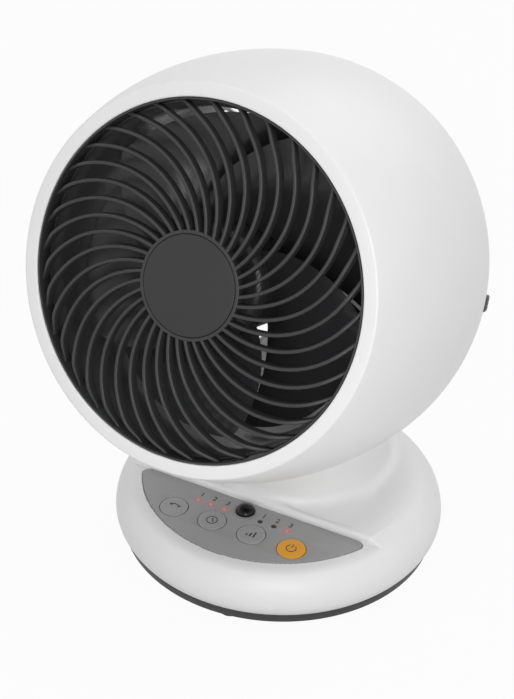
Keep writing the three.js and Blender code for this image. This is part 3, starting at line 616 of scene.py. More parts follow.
def brushed(name, color, roughness):
    """Metal with fine marks that run round or along it."""
    material = moulded(name, color, roughness, 0.08, 900, 0.08, metal=1.0)
    nodes = Nodes(material)
    stretched = nodes.add("ShaderNodeMapping", Vector=nodes.place, Scale=(60, 60, 2400))
    lines = nodes.add("ShaderNodeTexNoise", Vector=stretched.outputs[0], Scale=1.0, Detail=2.0)
    nodes.put(nodes.shader.inputs["Normal"], nodes.bump(lines.outputs["Fac"], 0.1, 0.0002))
    return material


def glowing(name, core, edge, strength):
    """A small lens, lit from below, whose middle is brighter than its rim."""
    material = moulded(name, edge, 0.25, 0.05, 2200, 0.03)
    nodes = Nodes(material)
    facing = nodes.add("ShaderNodeLayerWeight", Blend=0.35).outputs["Facing"]
    nodes.put(nodes.shader.inputs["Emission Color"], nodes.mixed(facing, linear(core), linear(edge)))
    nodes.shader.inputs["Emission Strength"].default_value = strength
    return material


def panel_material():
    """The grey panel, with a red glow painted into its colour round each lit lamp."""
    material = moulded("panel_grey", "999999", 0.42, 0.03, 1600, 0.05)
    nodes = Nodes(material)
    surface = nodes.shader.inputs["Base Color"].links[0].from_socket
    glow = 0.0
    for x in itertools.compress(LEDS, LED_LIT):
        spot = Vector((x, LED_ROW + BASE_SHIFT, PLATE_TOP)) * MM
        apart = nodes.tree.nodes.new("ShaderNodeVectorMath")
        apart.operation = "DISTANCE"
        nodes.put(apart.inputs[0], nodes.place)
        apart.inputs[1].default_value = spot
        near = nodes.ranged(apart.outputs["Value"], 1.0, 0.0, LED_RADIUS * MM, 3.6 * LED_RADIUS * MM)
        glow = nodes.maths("ADD", glow, nodes.maths("POWER", near, 2.0))
    # Painted light: the lamps' red spill, mixed into the panel's base colour.
    share = nodes.maths("MULTIPLY", glow, 0.45)
    nodes.put(nodes.shader.inputs["Base Color"], nodes.mixed(share, surface, linear("dd8078")))
    return material


MATERIALS = {
    "white_plastic": moulded("shell_white", "e7e7e7", 0.42, 0.012, 1300, 0.06, coat=0.05),
    "dark_plastic": moulded("grille_grey", "363637", 0.42, 0.06, 1500, 0.07, specular=0.35),
    "black_plastic": moulded("inner_black", "2b2b2d", 0.35, 0.08, 1200, 0.05, specular=0.35),
    "smoked_plastic": moulded("fan_black", "39393b", 0.16, 0.06, 700, 0.03, specular=0.35),
    "panel_plastic": panel_material(),
    "button_plastic": moulded("button_grey", "9b9b9b", 0.36, 0.03, 1700, 0.05),
    "power_plastic": moulded("button_orange", "e5a02c", 0.36, 0.04, 1700, 0.05),
    "lens_black": moulded("lens_black", "0a0a0c", 0.2, 0.3, 300, 0.01, specular=0.3),
    "led_lit": glowing("lamp_red", "cf9f9a", "c28c87", 0.14),
    "led_dark": moulded("lamp_off", "3a2c2c", 0.25, 0.1, 1800, 0.03),
    "board_green": moulded("board_green", "2f5b3a", 0.55, 0.12, 600, 0.1),
    "gear_plastic": moulded("gear_cream", "d8d6cc", 0.5, 0.04, 900, 0.08),
    "foot_rubber": moulded("foot_rubber", "1c1c1d", 0.85, 0.1, 900, 0.2, specular=0.3),
    "steel": brushed("screw_steel", "b4b6b8", 0.32),
    "motor_steel": brushed("motor_steel", "6a6c70", 0.42),
}
# Painted shade: the dark plastic made darker for the shade under the base's rim.
pan_painted_shade = moulded("tray_dark_painted_shade", "29292a", 0.5, 0.06, 1200, 0.1)
# Painted light: the head's dark plastic, made lighter to stand in for light that the dim inside of the
# head lacks.
duct_painted_light = moulded("duct_grey_painted_light", "4a4a4c", 0.4, 0.05, 1200, 0.05, specular=0.3)
cap_dark = moulded("cap_grey", "303031", 0.5, 0.05, 1700, 0.07, specular=0.35)
print_black = moulded("print_black", "2c2c2e", 0.5, 0.05, 1500, 0.02)
contact_metal = brushed("contact_metal", "d9d4c4", 0.25)


# ------ head ------
def barrel(ahead):
    """The radius of the barrel: a ball up to its middle, then a slower curve up to the ring."""
    if ahead <= 0:
        return sqrt(BALL ** 2 - ahead ** 2)
    return BALL - (BALL - RING_RADIUS) * (ahead / HEAD_DEPTH) ** BARREL_POWER


def barrel_inside(ahead):
    if ahead <= 0:
        return sqrt((BALL - WALL) ** 2 - ahead ** 2)
    return barrel(ahead) - WALL


def head_point(radius, angle, ahead):
    return *polar(radius, angle), ahead


def barrel_angles():
    """Columns round the barrel, the first two at the sides of the tilt slot on the underside."""
    count = 288
    half = asin(SLOT_HALF / BALL)
    start = half - pi / 2
    span = 2 * pi - 2 * half
    return [-pi / 2 - half, *[start + span * i / count for i in range(count)]]


def front_shell():
    """The white barrel, slotted below, and the flat ring round its mouth."""
    slot_end = BALL * cos(radians(SLOT_FROM))
    rows = sorted([*steps(SEAM + SEAM_EDGE, LIP, 34), slot_end])
    angles = barrel_angles()
    outside = [(barrel(SEAM) - SEAM_EDGE, SEAM), *[(barrel(s), s) for s in rows]]
    inside = [(barrel(SEAM) - WALL + SEAM_EDGE / 2, SEAM), *[(barrel_inside(s), s) for s in rows]]
    grids = [[[head_point(r, a, s) for a in angles] for r, s in line] for line in (outside, inside)]
    last = sum(1 for _, s in outside if s < slot_end)
    wall = walled(*grids, lambda row, column: column == 0 and row < last, True, False)
    ring = [(barrel(s), s, 0) for s in steps(LIP, HEAD_DEPTH - 2.5, 6)]
    ring += [(RING_RADIUS, HEAD_DEPTH, 1.3), (OPENING, HEAD_DEPTH, 0.9)]
    ring += [(OPENING, LIP, 0.4), (inside[-1][0], LIP, 0)]
    mouth = lathe(filleted(ring, count=6), angles=angles)
    piece("barrel", together(wall, mouth), HEAD, "head", "white_plastic", ["front_shell"], 28)


def rib_angle(radius):
    t = (radius - HUB) / (OPENING - HUB)
    return radians(RIB_START + RIB_SWEEP * t + RIB_CURL * t ** 3)


def rib_face(radius):
    """How far ahead a rib's face is: it bends back near its outer end."""
    return GRILLE_FACE - RIB_DROP * smoothstep((radius - GRILLE_RING + RIB_BEND) / RIB_BEND)


def bar_section(half, back, front, back_round, front_round, count=3):
    """The section of a straight bar, with one radius for its back and one for its front edges."""
    low = [(-half, back, back_round), (half, back, back_round)]
    high = [(half, front, front_round), (-half, front, front_round)]
    return filleted(low + high, closed=True, count=count)


def swirl_rib():
    section = bar_section(RIB_WIDTH / 2, -RIB_DEPTH, 0, 0.3, 0.75, 4)
    reach = 0.01
    rings = []
    for radius in steps(HUB - 0.8, GRILLE_RING - SLEEVE / 2, 36):
        x, y = polar(radius, rib_angle(radius))
        next_x, next_y = polar(radius + reach, rib_angle(radius + reach))
        along = Vector((next_x - x, next_y - y)).normalized()
        top = rib_face(radius)
        squeeze = 1 - 0.06 * (GRILLE_FACE - top)
        rings.append([(x - along.y * w, y + along.x * w, top + h * squeeze) for w, h in section])
    return loft(rings)


def front_grille():
    """The swirl of ribs between a flanged ring and a hub, and the cap in the hub."""
    inner = GRILLE_RING - SLEEVE
    flange = GRILLE_RING + FLANGE
    front = HEAD_DEPTH - 0.5
    back = LIP - CLEARANCE
    ring = filleted([
        (inner, front, 0.3),
        (GRILLE_RING, front, 0.3),
        (GRILLE_RING, back, 0),
        (flange, back, 0.3),
        (flange, back - FLANGE_THICK, 0.3),
        (inner, back - FLANGE_THICK, 0.3),
    ], closed=True)
    hub_back = GRILLE_FACE - RIB_DEPTH - 1
    hub_face = GRILLE_FACE + 0.1
    floor = GRILLE_FACE - CAP_SEAT
    groove = CAP + CLEARANCE
    hub = filleted([
        (0, hub_back, 0),
        (HUB, hub_back, 0.5),
        (HUB, hub_face, 0.5),
        (groove, hub_face, 0.25),
        (groove, floor, 0.1),
        (0, floor, 0),
    ])
    shape = together(lathe(ring, 256, True), lathe(hub), around(swirl_rib(), RIB_COUNT))
    piece("swirl_grille", shape, HEAD, "head", "dark_plastic", ["front_grille"])
    cap = [(0, floor + CLEARANCE, 0), (CAP, floor + CLEARANCE, 0)]
    cap = filleted([*cap, (CAP, GRILLE_FACE + 0.2, 0.4), (0, GRILLE_FACE + 0.45, 0)])
    piece("hub_disc", lathe(cap), HEAD, "head", "dark_plastic", ["grille_cap"], 40, cap_dark)


def fan_blade():
    """One broad blade, swept back and cambered, with its edges thinned."""
    root = FAN_HUB - 2
    spans, chords = 24, 30
    tip_flatter, tip_thinner, edge_thinner = 0.25, 0.35, 0.72

    def surface(side):
        grid = []
        for out in steps(0, 1, spans):
            row = []
            for along in steps(-0.5, 0.5, chords):
                radius = root + (FAN_RADIUS - root) * out
                chord = BLADE_CHORD - BLADE_TAPER * out
                angle = BLADE_PHASE - along * chord - BLADE_SWEEP * out ** BLADE_SWELL
                height = BLADE_DEPTH * (1 - tip_flatter * out)
                camber = BLADE_CAMBER * (0.25 - along ** 2)
                edge = 1 - edge_thinner * (2 * abs(along)) ** 5
                thick = BLADE_THICK * edge * (1 - tip_thinner * out)
                ahead = (FAN_FRONT + FAN_BACK) / 2 - along * height + camber + side * thick / 2
                row.append(head_point(radius, radians(angle), ahead))
            grid.append(row)
        return grid

    return walled(surface(1), surface(-1))


def fan_wheel():
    """The impeller: an open hub with the nut's seat in its front, and its blades."""
    floor = FAN_FRONT - 8
    seat = NUT + 2
    hub = filleted([
        (FAN_BORE, floor, 0),
        (FAN_HUB - WALL, floor, 1),
        (FAN_HUB - WALL, FAN_BACK, 0.5),
        (FAN_HUB, FAN_BACK, 0.8),
        (FAN_HUB, FAN_FRONT - 1.5, 6),
        (seat, FAN_FRONT, 0.6),
        (seat, FAN_FRONT - 3, 0.3),
        (FAN_BORE, FAN_FRONT - 3, 0),
    ], closed=True)
    shape = together(lathe(hub, 96, True), around(fan_blade(), BLADES))
    piece("fan_wheel", shape, HEAD, "rotor", "smoked_plastic", ["impeller"], 40)
    nut = [(FAN_BORE, NUT_BACK, 0), (NUT, NUT_BACK, 0.5), (NUT, NUT_FRONT - 3, 1.2)]
    nut = filleted([*nut, (NUT - 3, NUT_FRONT, 1), (0, NUT_FRONT, 0)])
    piece("fan_nut", lathe(nut, 48), HEAD, "rotor", "black_plastic", ["impeller_nut"])


def intake_duct():
    """The dark tube round the blades: flared at the back, widened to a lip at the front."""
    front = LIP - FLANGE_THICK - 2 * CLEARANCE
    inside = []
    for t in steps(0, 1, 20):
        flare = (1 - sin(t * pi / 2)) * (DUCT_MOUTH - DUCT)
        inside.append((DUCT + flare, DUCT_BACK + (DUCT_THROAT - DUCT_BACK) * t))
    outside = [(radius + DUCT_WALL, ahead) for radius, ahead in reversed(inside)]
    lip = [(DUCT + DUCT_LIP * smoothstep(t), front - 7 * (1 - t)) for t in steps(0, 1, 6)]
    lip += [(DUCT + DUCT_WALL + DUCT_LIP, front), (DUCT + DUCT_WALL, front - 8)]
    shape = lathe(inside + lip + outside, 160, True)
    # The duct's grey is painted lighter than the black plastic, for the dim light inside the head.
    piece("intake_duct", shape, HEAD, "head", "black_plastic", ["air_duct"], 40, duct_painted_light)


def motor_housing():
    """The can of the motor, with a groove rolled round it and a boss in front."""
    groove = [(MOTOR, -4, 0.3), (MOTOR - 0.5, -3.6, 0.2), (MOTOR - 0.5, -2.4, 0.2), (MOTOR, -2, 0.3)]
    profile = filleted([
        (0, MOTOR_BACK, 0),
        (MOTOR, MOTOR_BACK, 3),
        *groove,
        (MOTOR, MOTOR_FRONT, 3),
        (MOTOR_BOSS, MOTOR_FRONT, 0.6),
        (MOTOR_BOSS, BOSS_FRONT, 1),
        (SHAFT_HOLE, BOSS_FRONT, 0.3),
        (SHAFT_HOLE, MOTOR_FRONT - 12, 0),
        (0, MOTOR_FRONT - 12, 0),
    ])
    piece("motor_housing", lathe(profile, 96), HEAD, "head", "motor_steel", ["motor_can"])


def block(low, high):
    corners = list(itertools.product(*zip(low, high)))
    faces = [[0, 1, 3, 2], [4, 6, 7, 5], [0, 4, 5, 1], [2, 3, 7, 6], [0, 2, 6, 4], [1, 5, 7, 3]]
    return corners, faces


def under_arc(radius, x, angle):
    """A point under the head, by its angle from straight ahead towards the underside."""
    reach = sqrt(max(radius ** 2 - x ** 2, 0))
    return x, -reach * sin(angle), reach * cos(angle)


def under_band(outer, inner, start, end, half, rows):
    """A curved band under the head with the tilt slot in it."""
    slot_ends = [a for a in (SLOT_FROM, SLOT_TO) if start < a < end]
    angles = sorted([*steps(start, end, rows), *slot_ends])
    lines = [*steps(-half, -SLOT_HALF, 4), *steps(SLOT_HALF, half, 4)]

    def is_open(row, column):
        return column == 4 and SLOT_FROM < (angles[row] + angles[row + 1]) / 2 < SLOT_TO

    grids = [[[under_arc(r, x, radians(a)) for x in lines] for a in angles] for r in (outer, inner)]
    return walled(*grids, is_open)


def spoke(inner, outer, back, front, width):
    """A straight arm along X with rounded edges."""
    section = bar_section(width / 2, back, front, 0.8, 0.8)
    return loft([[(x, y, s) for y, s in section] for x in steps(inner, outer, 6)])


def motor_spider():
    """The frame in the head: a ring, four arms, the motor's cup and the tilt track."""
    front, back = SPIDER_FRONT, SPIDER_BACK
    ring_outer = sqrt((BALL - WALL) ** 2 - back ** 2) - 2 * CLEARANCE
    corners = [(ring_outer, front), (ring_outer, back), (TRACK_INNER, back), (TRACK_INNER, front)]
    ring = filleted([(*corner, 0.4) for corner in corners], closed=True)
    hole, rim = 8, 6.8
    bore = MOTOR + CLEARANCE
    floor = MOTOR_BACK - CLEARANCE
    cup = filleted([
        (hole, floor, 0.3),
        (bore, floor, 1.5),
        (bore, rim, 0.3),
        (bore + WALL, rim, 0.5),
        (bore + WALL, back, 1.2),
        (hole, back, 0.5),
    ], closed=True)
    arm = spoke(bore + 1.2, TRACK_INNER + 0.7, back, front, 10)
    arms = [turned(arm, -angle) for angle in (30, 150, 210, 330)]
    track = under_band(TRACK_OUTER, TRACK_INNER, SLOT_FROM - 3, SLOT_TO + 3, 15, 24)
    shape = together(lathe(ring, 160, True), lathe(cup, 96, True), track, *arms)
    piece("motor_spider", shape, HEAD, "head", "black_plastic", ["motor_frame"])


def guard_rib(start, end):
    """A rib of the rear guard, from the seam's hoop to the disc at the back."""
    middle_radius = GUARD - GUARD_THICK / 2
    deep = GUARD_THICK / 2 - 0.3
    section = bar_section(GUARD_RIB_WIDTH / 2, -deep, deep, 0.5, 0.8)
    rings = []
    for angle in steps(radians(start), radians(end), 22):
        c, s = polar(1, angle)
        rings.append([(w, -(middle_radius + d) * s, (middle_radius + d) * c) for w, d in section])
    return loft(rings)


def guard_cage():
    """The rear guard: a hoop notched for the latches, ribs, a disc and a slotted keel below."""
    inner = GUARD - GUARD_THICK
    seam = degrees(acos((SEAM - CLEARANCE) / inner))
    hoop_angle = degrees(HOOP / GUARD)
    disc_angle = 180 - degrees(asin(GUARD_DISC / GUARD))
    rib = guard_rib(seam + hoop_angle / 2, disc_angle + 1.5)
    ribs = around(rib, GUARD_RIBS, 180 / GUARD_RIBS)
    notch = degrees(NOTCH_HALF / GUARD)
    columns = sorted([*steps(0, 360, 180)[:-1], notch, 180 - notch, 180 + notch, 360 - notch])
    ends = [*columns[1:], 360]

    def is_open(row, column):
        between = (columns[column] + ends[column]) / 2
        return abs((between + 90) % 180 - 90) < notch

    def band(radius, chamfer):
        shrink = [chamfer, 0, 0, chamfer]
        rows = []
        for angle, less in zip(steps(radians(seam), radians(seam + hoop_angle), 3), shrink):
            ahead, out = polar(radius - less, angle)
            rows.append([head_point(out, radians(c), ahead) for c in columns])
        return rows

    def corner(radius, angle, rounding=0):
        ahead, out = polar(radius, radians(angle))
        return out, ahead, rounding

    hoop = walled(band(GUARD, 0.4), band(inner, -0.4), is_open, True)
    disc = filleted([
        (0, -inner, 0),
        *[corner(inner, a) for a in steps(178, disc_angle, 5)],
        corner(GUARD, disc_angle, 0.5),
        *[corner(GUARD, a) for a in steps(disc_angle + 2, 178, 6)],
        (0, -GUARD, 0),
    ])
    keel = under_band(GUARD - 0.1, inner + 0.1, seam + 0.5, SLOT_TO + 6, KEEL_HALF, 20)
    shape = together(hoop, ribs, lathe(disc, 96), keel)
    piece("guard_cage", shape, HEAD, "head", "white_plastic", ["rear_guard"])


def latch_tab(side):
    """The dark tab of a guard latch, with three grip lines across its face."""
    reach = sqrt(BALL ** 2 - LATCH_AHEAD ** 2) + LATCH_PROUD
    half_wide, half_tall = 2.5, 4.5
    outline = bar_section(half_wide, -half_tall, half_tall, 0.8, 0.8, 4)
    rings = []
    for depth, shrink in ((LATCH_ROOT, 1.0), (reach - 0.6, 1.0), (reach - 0.2, 0.93), (reach, 0.8)):
        rings.append([(side * depth, u * shrink, s * shrink + LATCH_AHEAD) for s, u in outline])
    grip = block((-0.15, -0.35, -1.7), (0.15, 0.35, 1.7))
    grips = [shifted(grip, side * reach, u, LATCH_AHEAD) for u in (-2.2, 0, 2.2)]
    name = "left" if side < 0 else "right"
    shape = together(loft(rings), *grips)
    piece(f"latch_tab_{name}", shape, HEAD, f"latch_{name}", "dark_plastic", [f"guard_latch_{name}"])


# ------ base ------
def plate_distance(x, y, grow):
    """Distance in the plane to the half-moon outline of the panel's plate."""
    r = np.maximum(np.hypot(x, y), 1e-6)
    by_arc, by_line = r - TIP_REACH, y - TIP_Y
    to_tip = np.hypot(np.abs(x) - TIP_X, by_line)
    beside = np.where((by_line > 0) & (np.abs(x) <= TIP_X), by_line, to_tip)
    outside = np.where((by_arc > 0) & (y * TIP_REACH / r <= TIP_Y), by_arc, beside)
    within = (by_arc <= 0) & (by_line <= 0)
    return np.where(within, np.maximum(by_arc, by_line), outside) - PLATE_TIP - grow


def foot_body(x, y, z):
    """The round base and the neck, as one soft form without its hollow."""
    r = np.hypot(x, y)
    below = np.maximum(BULGE_HEIGHT - z, 0) / (BULGE_HEIGHT - SKIRT)
    skirt = r - (BASE_RADIUS - SKIRT_TAPER * below ** 2)
    rim = np.where(z >= BULGE_HEIGHT, np.hypot(r - CROWN_RADIUS, z - BULGE_HEIGHT) - RIM_TUBE, skirt)
    core = np.maximum(r - CROWN_RADIUS - 3, z - DISH)
    body = soft_union(rim, core, 6.0)
    room = soft_common(y - WALL_LINE, PANEL - z, 0.8)
    body = soft_common(body, -room, 1.6)
    bead = np.hypot(y - WALL_LINE - 1.6, z - DISH + 0.4) - BEAD
    bead = np.maximum(np.maximum(bead, np.where(r > CROWN_RADIUS, rim + 1, -1)), r - BEAD_END)
    body = soft_union(body, bead, 1.5)
    rise = z - DISH
    centre = NECK_BEHIND - NECK_LEAN * rise / NECK_HEIGHT
    radius = NECK - NECK_TAPER * np.clip((rise - NECK_TOE) / (NECK_HEIGHT - NECK_TOE), 0, 1)
    neck = (np.hypot(x, y - centre) - radius) * 0.98
    neck = np.maximum(neck, np.maximum(NECK_FLOOR - z, z - NECK_TOP))
    return soft_union(body, neck, 9.0)


def housing_field(x, y, z):
    """The base shell: the soft form with its cup, its hollow and every opening cut out."""
    body = foot_body(x, y, z)
    ball = np.sqrt(x ** 2 + (y + BALL_AHEAD) ** 2 + (z - BALL_HEIGHT) ** 2)
    keep = np.maximum(y - WALL_LINE - WALL, PANEL - PANEL_DEEP - z)
    hollow = soft_common(soft_common(body + WALL, CUP + WALL - ball, 1.0), -keep, 1.0)
    solid = soft_common(body, CUP - ball, 1.6)
    solid = soft_common(solid, -hollow, 0.4)
    solid = soft_common(solid, SKIRT - z, 0.6)
    stem = np.maximum(STEM_FLOOR - z, z - STEM_TOP)
    stem = np.maximum(np.hypot(x, y + BALL_AHEAD) - STEM_HOLE, stem)
    inlet = np.maximum(np.hypot(x, z - BULGE_HEIGHT) - SOCKET - CLEARANCE, SOCKET_END - y)
    pocket = np.maximum(plate_distance(x, y, CLEARANCE / 2), PLATE_TOP - PLATE_THICK - CLEARANCE - z)
    for hole, blend in ((stem, 0.8), (inlet, 0.8), (pocket, 0.3)):
        solid = soft_common(solid, -hole, blend)
    shafts = [(spot, BUTTON_ROW, BUTTON_RADIUS + BUTTON_GAP) for spot in BUTTONS.values()]
    for across, ahead, radius in [*shafts, (0, EYE_ROW, EYE_RADIUS + CLEARANCE)]:
        shaft = np.maximum(np.hypot(x - across, y - ahead) - radius, HOLE_FLOOR - z)
        solid = np.maximum(solid, -shaft)
    return solid


def base_housing():
    """The base shell as a net of the field's surface, with the field's own normals."""
    reach, bottom = 101, 6
    cell = 1.05
    points, quads, outward = net(housing_field, (-reach, -reach, bottom), (reach, reach, reach), cell)
    mesh = bpy.data.meshes.new("base_housing")
    mesh.from_pydata(points.tolist(), [], quads.tolist())
    mesh.transform(BASE)
    mesh.shade_smooth()
    size = np.maximum(np.linalg.norm(outward, axis=1, keepdims=True), 1e-9)
    mesh.normals_split_custom_set_from_vertices((outward / size).tolist())
    settle(added("base_housing", mesh), "base", "white_plastic", ["base_shell"])


def base_tray():
    """The dark pan, with a recess for each of its screws."""
    profile = filleted([
        (0, PAN_BOTTOM, 0),
        (PAN_RADIUS - 0.6, PAN_BOTTOM, 0.8),
        (PAN_RADIUS, PAN_TOP, 0.3),
        (PAN_RADIUS - 3.3, PAN_TOP, 0.3),
        (PAN_RADIUS - 4.5, PAN_FLOOR, 0.3),
        (0, PAN_FLOOR, 0),
    ])
    shape = lathe(profile, 192)
    # The tray's colour is painted darker than its dark plastic, for the shade under the rim.
    tray = piece("base_tray", shape, BASE, "base", "dark_plastic", ["base_pan"], material=pan_painted_shade)
    low, high = PAN_BOTTOM - 1.8, PAN_FLOOR - 0.4
    recess = lathe([(0, low), (SCREW_HOLE, low), (SCREW_HOLE, high), (0, high)], 32)
    for angle in (45, 135, 225, 315):
        cut_by(tray, shifted(recess, *polar(PAN_SCREWS, radians(angle))), BASE)


def plate_outline():
    """The half-moon: an arc about the base's axis, a straight chord and rounded tips."""
    meet = atan2(TIP_Y, TIP_X)
    tips = [(TIP_X, angle) for angle in steps(meet, pi / 2, 10)]
    tips += [(-TIP_X, angle) for angle in steps(pi / 2, pi - meet, 10)]
    arc = steps(-pi - meet, meet, 96)[1:-1]
    return [polar(PLATE_TIP, a, x, TIP_Y) for x, a in tips] + [polar(PLATE_RADIUS, a) for a in arc]


def control_panel():
    holes = [circle(BUTTON_RADIUS + BUTTON_GAP, x, BUTTON_ROW, 72) for x in BUTTONS.values()]
    holes += [circle(LED_RADIUS + 0.15, x, LED_ROW, 24) for x in LEDS]
    holes.append(circle(EYE_RADIUS + 0.2, 0, EYE_ROW, 48))
    shape = plate_shape([plate_outline(), *holes], PLATE_TOP - PLATE_THICK, PLATE_TOP, 0.18)
    piece("control_panel", shape, BASE, "base", "panel_plastic", ["panel_plate"])


def button_cap():
    """A round cap with a flange that holds it under the panel and a stem on its switch."""
    top = PANEL - PANEL_DEEP - CLEARANCE
    low = top - 1.4
    stem, flange = 3, BUTTON_RADIUS + 1.2
    return lathe(filleted([
        (0, low - 1.3, 0),
        (stem, low - 1.3, 0.3),
        (stem, low, 0),
        (flange, low, 0.2),
        (flange, top, 0.2),
        (BUTTON_RADIUS, top, 0),
        (BUTTON_RADIUS, BUTTON_TOP - 0.1, 0.45),
        (BUTTON_RADIUS - 2.5, BUTTON_TOP, 3),
        (0, BUTTON_TOP - 0.15, 0),
    ]), 72)


def printed(line, closed=False, width=PRINT_LINE):
    return ribbon(line, width, PRINT_LOW, PRINT_HIGH, closed)


def swing_mark():
    """An arc with an arrow at each end."""
    start, end, radius, drop = 35, 145, 3.6, -1.2
    lines = [printed(arc_line(radius, start, end, 24, 0, drop))]
    for angle, turn in ((radians(start), -1), (radians(end), 1)):
        x, y = polar(radius, angle, 0, drop)
        for lean in (40, 140):
            direction = angle + turn * radians(lean - 180)
            lines.append(printed([(x, y), polar(1.3, direction, x, y)]))
    return together(*lines)


def timer_mark():
    """A clock's face with its two hands."""
    hands = [(0, 1.9), (0, 0), (1.4, -0.9)]
    return together(printed(arc_line(3.1, 0, 345, 32), True), printed(hands))


def speed_mark():
    """Three bars, each higher than the last."""
    tops = ((-2.2, -0.8), (0, 0.8), (2.2, 2.4))
    return together(*(printed([(x, -2.2), (x, top)], width=0.9) for x, top in tops))


def power_mark():
    """A ring that is open at the top, and a line in the gap."""
    return together(printed(arc_line(2.8, 125, 415, 28)), printed([(0, 0.6), (0, 3.4)]))


MARKS = {"swing": swing_mark, "timer": timer_mark, "speed": speed_mark, "power": power_mark}


def buttons():
    for name, x in BUTTONS.items():
        slot = "power_plastic" if name == "power" else "button_plastic"
        cap = shifted(button_cap(), x, BUTTON_ROW)
        piece(f"{name}_cap", cap, BASE, f"{name}_key", slot, [f"{name}_button"])
        mark = shifted(MARKS[name](), x, BUTTON_ROW)
        piece(f"{name}_mark", mark, BASE, f"{name}_key", slot, material=print_black)


def digit(text, x, y, low, high):
    """A plain numeral as a thin solid."""
    curve = bpy.data.curves.new("digit", "FONT")
    curve.body = text
    curve.size = DIGIT
    curve.align_x = "CENTER"
    curve.align_y = "CENTER"
    curve.extrude = (high - low) / 2
    curve.offset = DIGIT_WEIGHT
    return curve_shape(curve, low, high, x, y)


def panel_prints():
    """The numbers 1 to 3 over each three of the lamps."""
    low, high = PLATE_TOP - 0.05, PLATE_TOP + 0.03
    digits = [digit(str(i % 3 + 1), x, LED_ROW + DIGIT, low, high) for i, x in enumerate(LEDS)]
    piece("panel_prints", together(*digits), BASE, "base", "panel_plastic", material=print_black)


def lamps():
    dome = [(0, PIPE_FLOOR, 0), (LED_RADIUS, PIPE_FLOOR, 0), (LED_RADIUS, PLATE_TOP + 0.05, 0.2)]
    dome = filleted([*dome, (0, PLATE_TOP + 0.35, 0)])
    for i, (x, lit) in enumerate(zip(LEDS, LED_LIT), 1):
        shape = shifted(lathe(dome, 32), x, LED_ROW)
        piece(f"lamp_{i}", shape, BASE, "base", "led_lit" if lit else "led_dark", [f"light_pipe_{i}"])


def remote_window():
    top = PLATE_TOP + 0.2
    dome = [(0, PIPE_FLOOR), (EYE_RADIUS, PIPE_FLOOR), (EYE_RADIUS, top)]
    dome += [(x, top + y * EYE_DOME / EYE_RADIUS) for x, y in arc_line(EYE_RADIUS, 4, 86, 14)]
    shape = shifted(lathe([*dome, (0, top + EYE_DOME)], 64), 0, EYE_ROW)
    piece("remote_dome", shape, BASE, "base", "lens_black", ["remote_eye"], 40)


def feet():
    radius, height = 6.5, 2.5
    shape = lathe(filleted([(0, 0, 0), (radius, 0, 0.8), (radius, height, 0.2), (0, height, 0)]), 48)
    for corner in ("front", "right", "back", "left"):
        spot = middle(f"foot_{corner}")
        place = Matrix.Translation((spot.x, spot.y, 0)) @ Matrix.Scale(MM, 4)
        piece(f"rubber_{corner}", shape, place, "base", "foot_rubber", [f"foot_{corner}"])


def power_socket():
    """The round mouth of the low-voltage inlet, with its pin."""
    bore, floor = SOCKET - 2, -8
    mouth = filleted([
        (0, floor, 0),
        (bore, floor, 0),
        (bore, 0, 0.4),
        (SOCKET, 0, 0.5),
        (SOCKET, floor - 2.5, 0),
        (0, floor - 2.5, 0),
    ])
    pin = filleted([(0, floor - 1, 0), (1, floor - 1, 0), (1, -0.6, 0.5), (0, -0.4, 0)])
    back = Matrix.Rotation(radians(-90), 4, "X")
    place = BASE @ Matrix.Translation((0, BASE_RADIUS - 0.6, BULGE_HEIGHT)) @ back
    holder = block((-7, -5.5, floor - 8.6), (7, 5.5, floor - 1.9))
    shape = together(lathe(mouth, 48), holder)
    piece("dc_socket", shape, place, "base", "black_plastic", ["power_inlet"])
    piece("dc_pin", lathe(pin, 24), place, "base", "steel", material=contact_metal)


# ------ the solids that stay as they are ------
SLOT_OF = {
    "gear_plastic": ["turret", "shoe", "pinion", "bearing"],
    "steel": ["screw", "washer", "ballast", "motor_shaft"],
    "motor_steel": ["swivel_motor"],
    "board_green": ["control_board"],
}


def dress_solids():
    """Gives every solid that still shows a finish of its own, by words in its name."""
    for node, thing in frame["nodes"].items():
        fits = [slot for slot, words in SLOT_OF.items() if any(word in node for word in words)]
        if thing.hide_render or not fits:
            continue
        for place in thing.material_slots:
            place.material = MATERIALS[fits[-1]]
        thing.data.shade_smooth()
        thing.data.set_sharp_from_angle(angle=radians(SHARP))


# ------ camera, light and floor ------
def add_camera():
    """The camera at the photograph's viewing angle."""
    camera = added("camera", bpy.data.cameras.new("camera"))
    right = Vector((0.883875, 0.467418, 0.016907))
    up = Vector((-0.259898, 0.460765, 0.848616))
    back = right.cross(up)
    up = back.cross(right)
    place = Vector((264.70, -546.13 + BASE_SHIFT, 499.95)) * MM
    camera.matrix_world = Matrix.Translation(place) @ Matrix((right, up, back)).transposed().to_4x4()
    camera.data.sensor_width = 36
    camera.data.lens = 64.607
    camera.data.clip_start = 0.01
    bpy.context.scene.camera = camera


def add_lamp(name, place, size, power):
    """A round lamp, turned towards the middle of the object."""
    lamp = bpy.data.lights.new(name, "AREA")
    lamp.shape = "DISK"
    lamp.size = size
    lamp.energy = power
    thing = added(name, lamp)
    thing.location = place
    target = Vector((0, 0, 0.15))
    thing.rotation_euler = (target - Vector(place)).to_track_quat("-Z", "Y").to_euler()
    thing.visible_camera = False


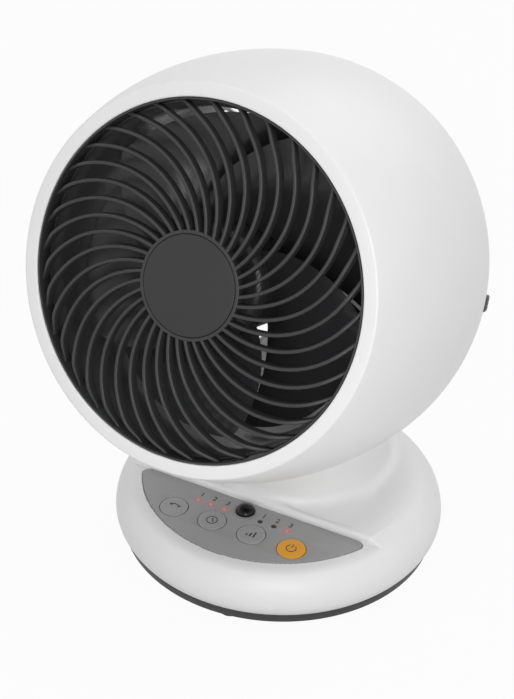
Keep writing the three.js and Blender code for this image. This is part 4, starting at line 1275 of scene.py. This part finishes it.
def seen_rays(nodes):
    """1 on rays that show the background: in view, in a reflection or through glass."""
    path = nodes.add("ShaderNodeLightPath").outputs
    seen = path["Is Camera Ray"]
    for ray in ("Is Glossy Ray", "Is Transmission Ray"):
        seen = nodes.maths("MAXIMUM", seen, path[ray])
    return seen


def add_light():
    """A white world that lights a little less than it shows, and four soft lamps."""
    ambient = 0.66
    scene = bpy.context.scene
    scene.view_settings.view_transform = "Standard"
    scene.world = bpy.data.worlds.new("studio")
    nodes = Nodes(scene.world)
    background = nodes.tree.nodes["Background"]
    background.inputs["Color"].default_value = (1, 1, 1, 1)
    nodes.put(background.inputs["Strength"], nodes.ranged(seen_rays(nodes), ambient, 1.0, 0.0, 1.0))
    add_lamp("key", (0.34, -0.58, 0.36), 0.4, 1.65)
    add_lamp("fill", (-1.3, -0.9, 0.9), 1.4, 0.1)
    add_lamp("top", (0.1, -0.2, 1.6), 1.2, 3.0)
    add_lamp("back", (0.3, 1.5, 1.2), 1.4, 5)


def add_floor():
    """A floor that reads white and keeps a faint shadow of the object."""
    size, white_share = 6, 0.95
    corners = [(-size, -size, 0), (size, -size, 0), (size, size, 0), (-size, size, 0)]
    mesh = bpy.data.meshes.new("floor")
    mesh.from_pydata(corners, [], [[0, 1, 2, 3]])
    material = bpy.data.materials.new("floor_white")
    nodes = Nodes(material)
    nodes.shader.inputs["Base Color"].default_value = (0.5, 0.5, 0.5, 1)
    nodes.shader.inputs["Roughness"].default_value = 0.9
    glow = nodes.add("ShaderNodeEmission", Strength=1.0)
    share = nodes.maths("MULTIPLY", seen_rays(nodes), white_share)
    mix = nodes.add("ShaderNodeMixShader")
    for socket, value in zip(mix.inputs, (share, nodes.shader.outputs[0], glow.outputs[0])):
        nodes.put(socket, value)
    nodes.put(nodes.tree.nodes["Material Output"].inputs["Surface"], mix.outputs[0])
    mesh.materials.append(material)
    added("floor", mesh)


add_camera()
add_light()
add_floor()

front_shell()
front_grille()
fan_wheel()
intake_duct()
motor_housing()
motor_spider()
guard_cage()
latch_tab(-1)
latch_tab(1)

base_housing()
base_tray()
control_panel()
buttons()
panel_prints()
lamps()
remote_window()
feet()
power_socket()
dress_solids()
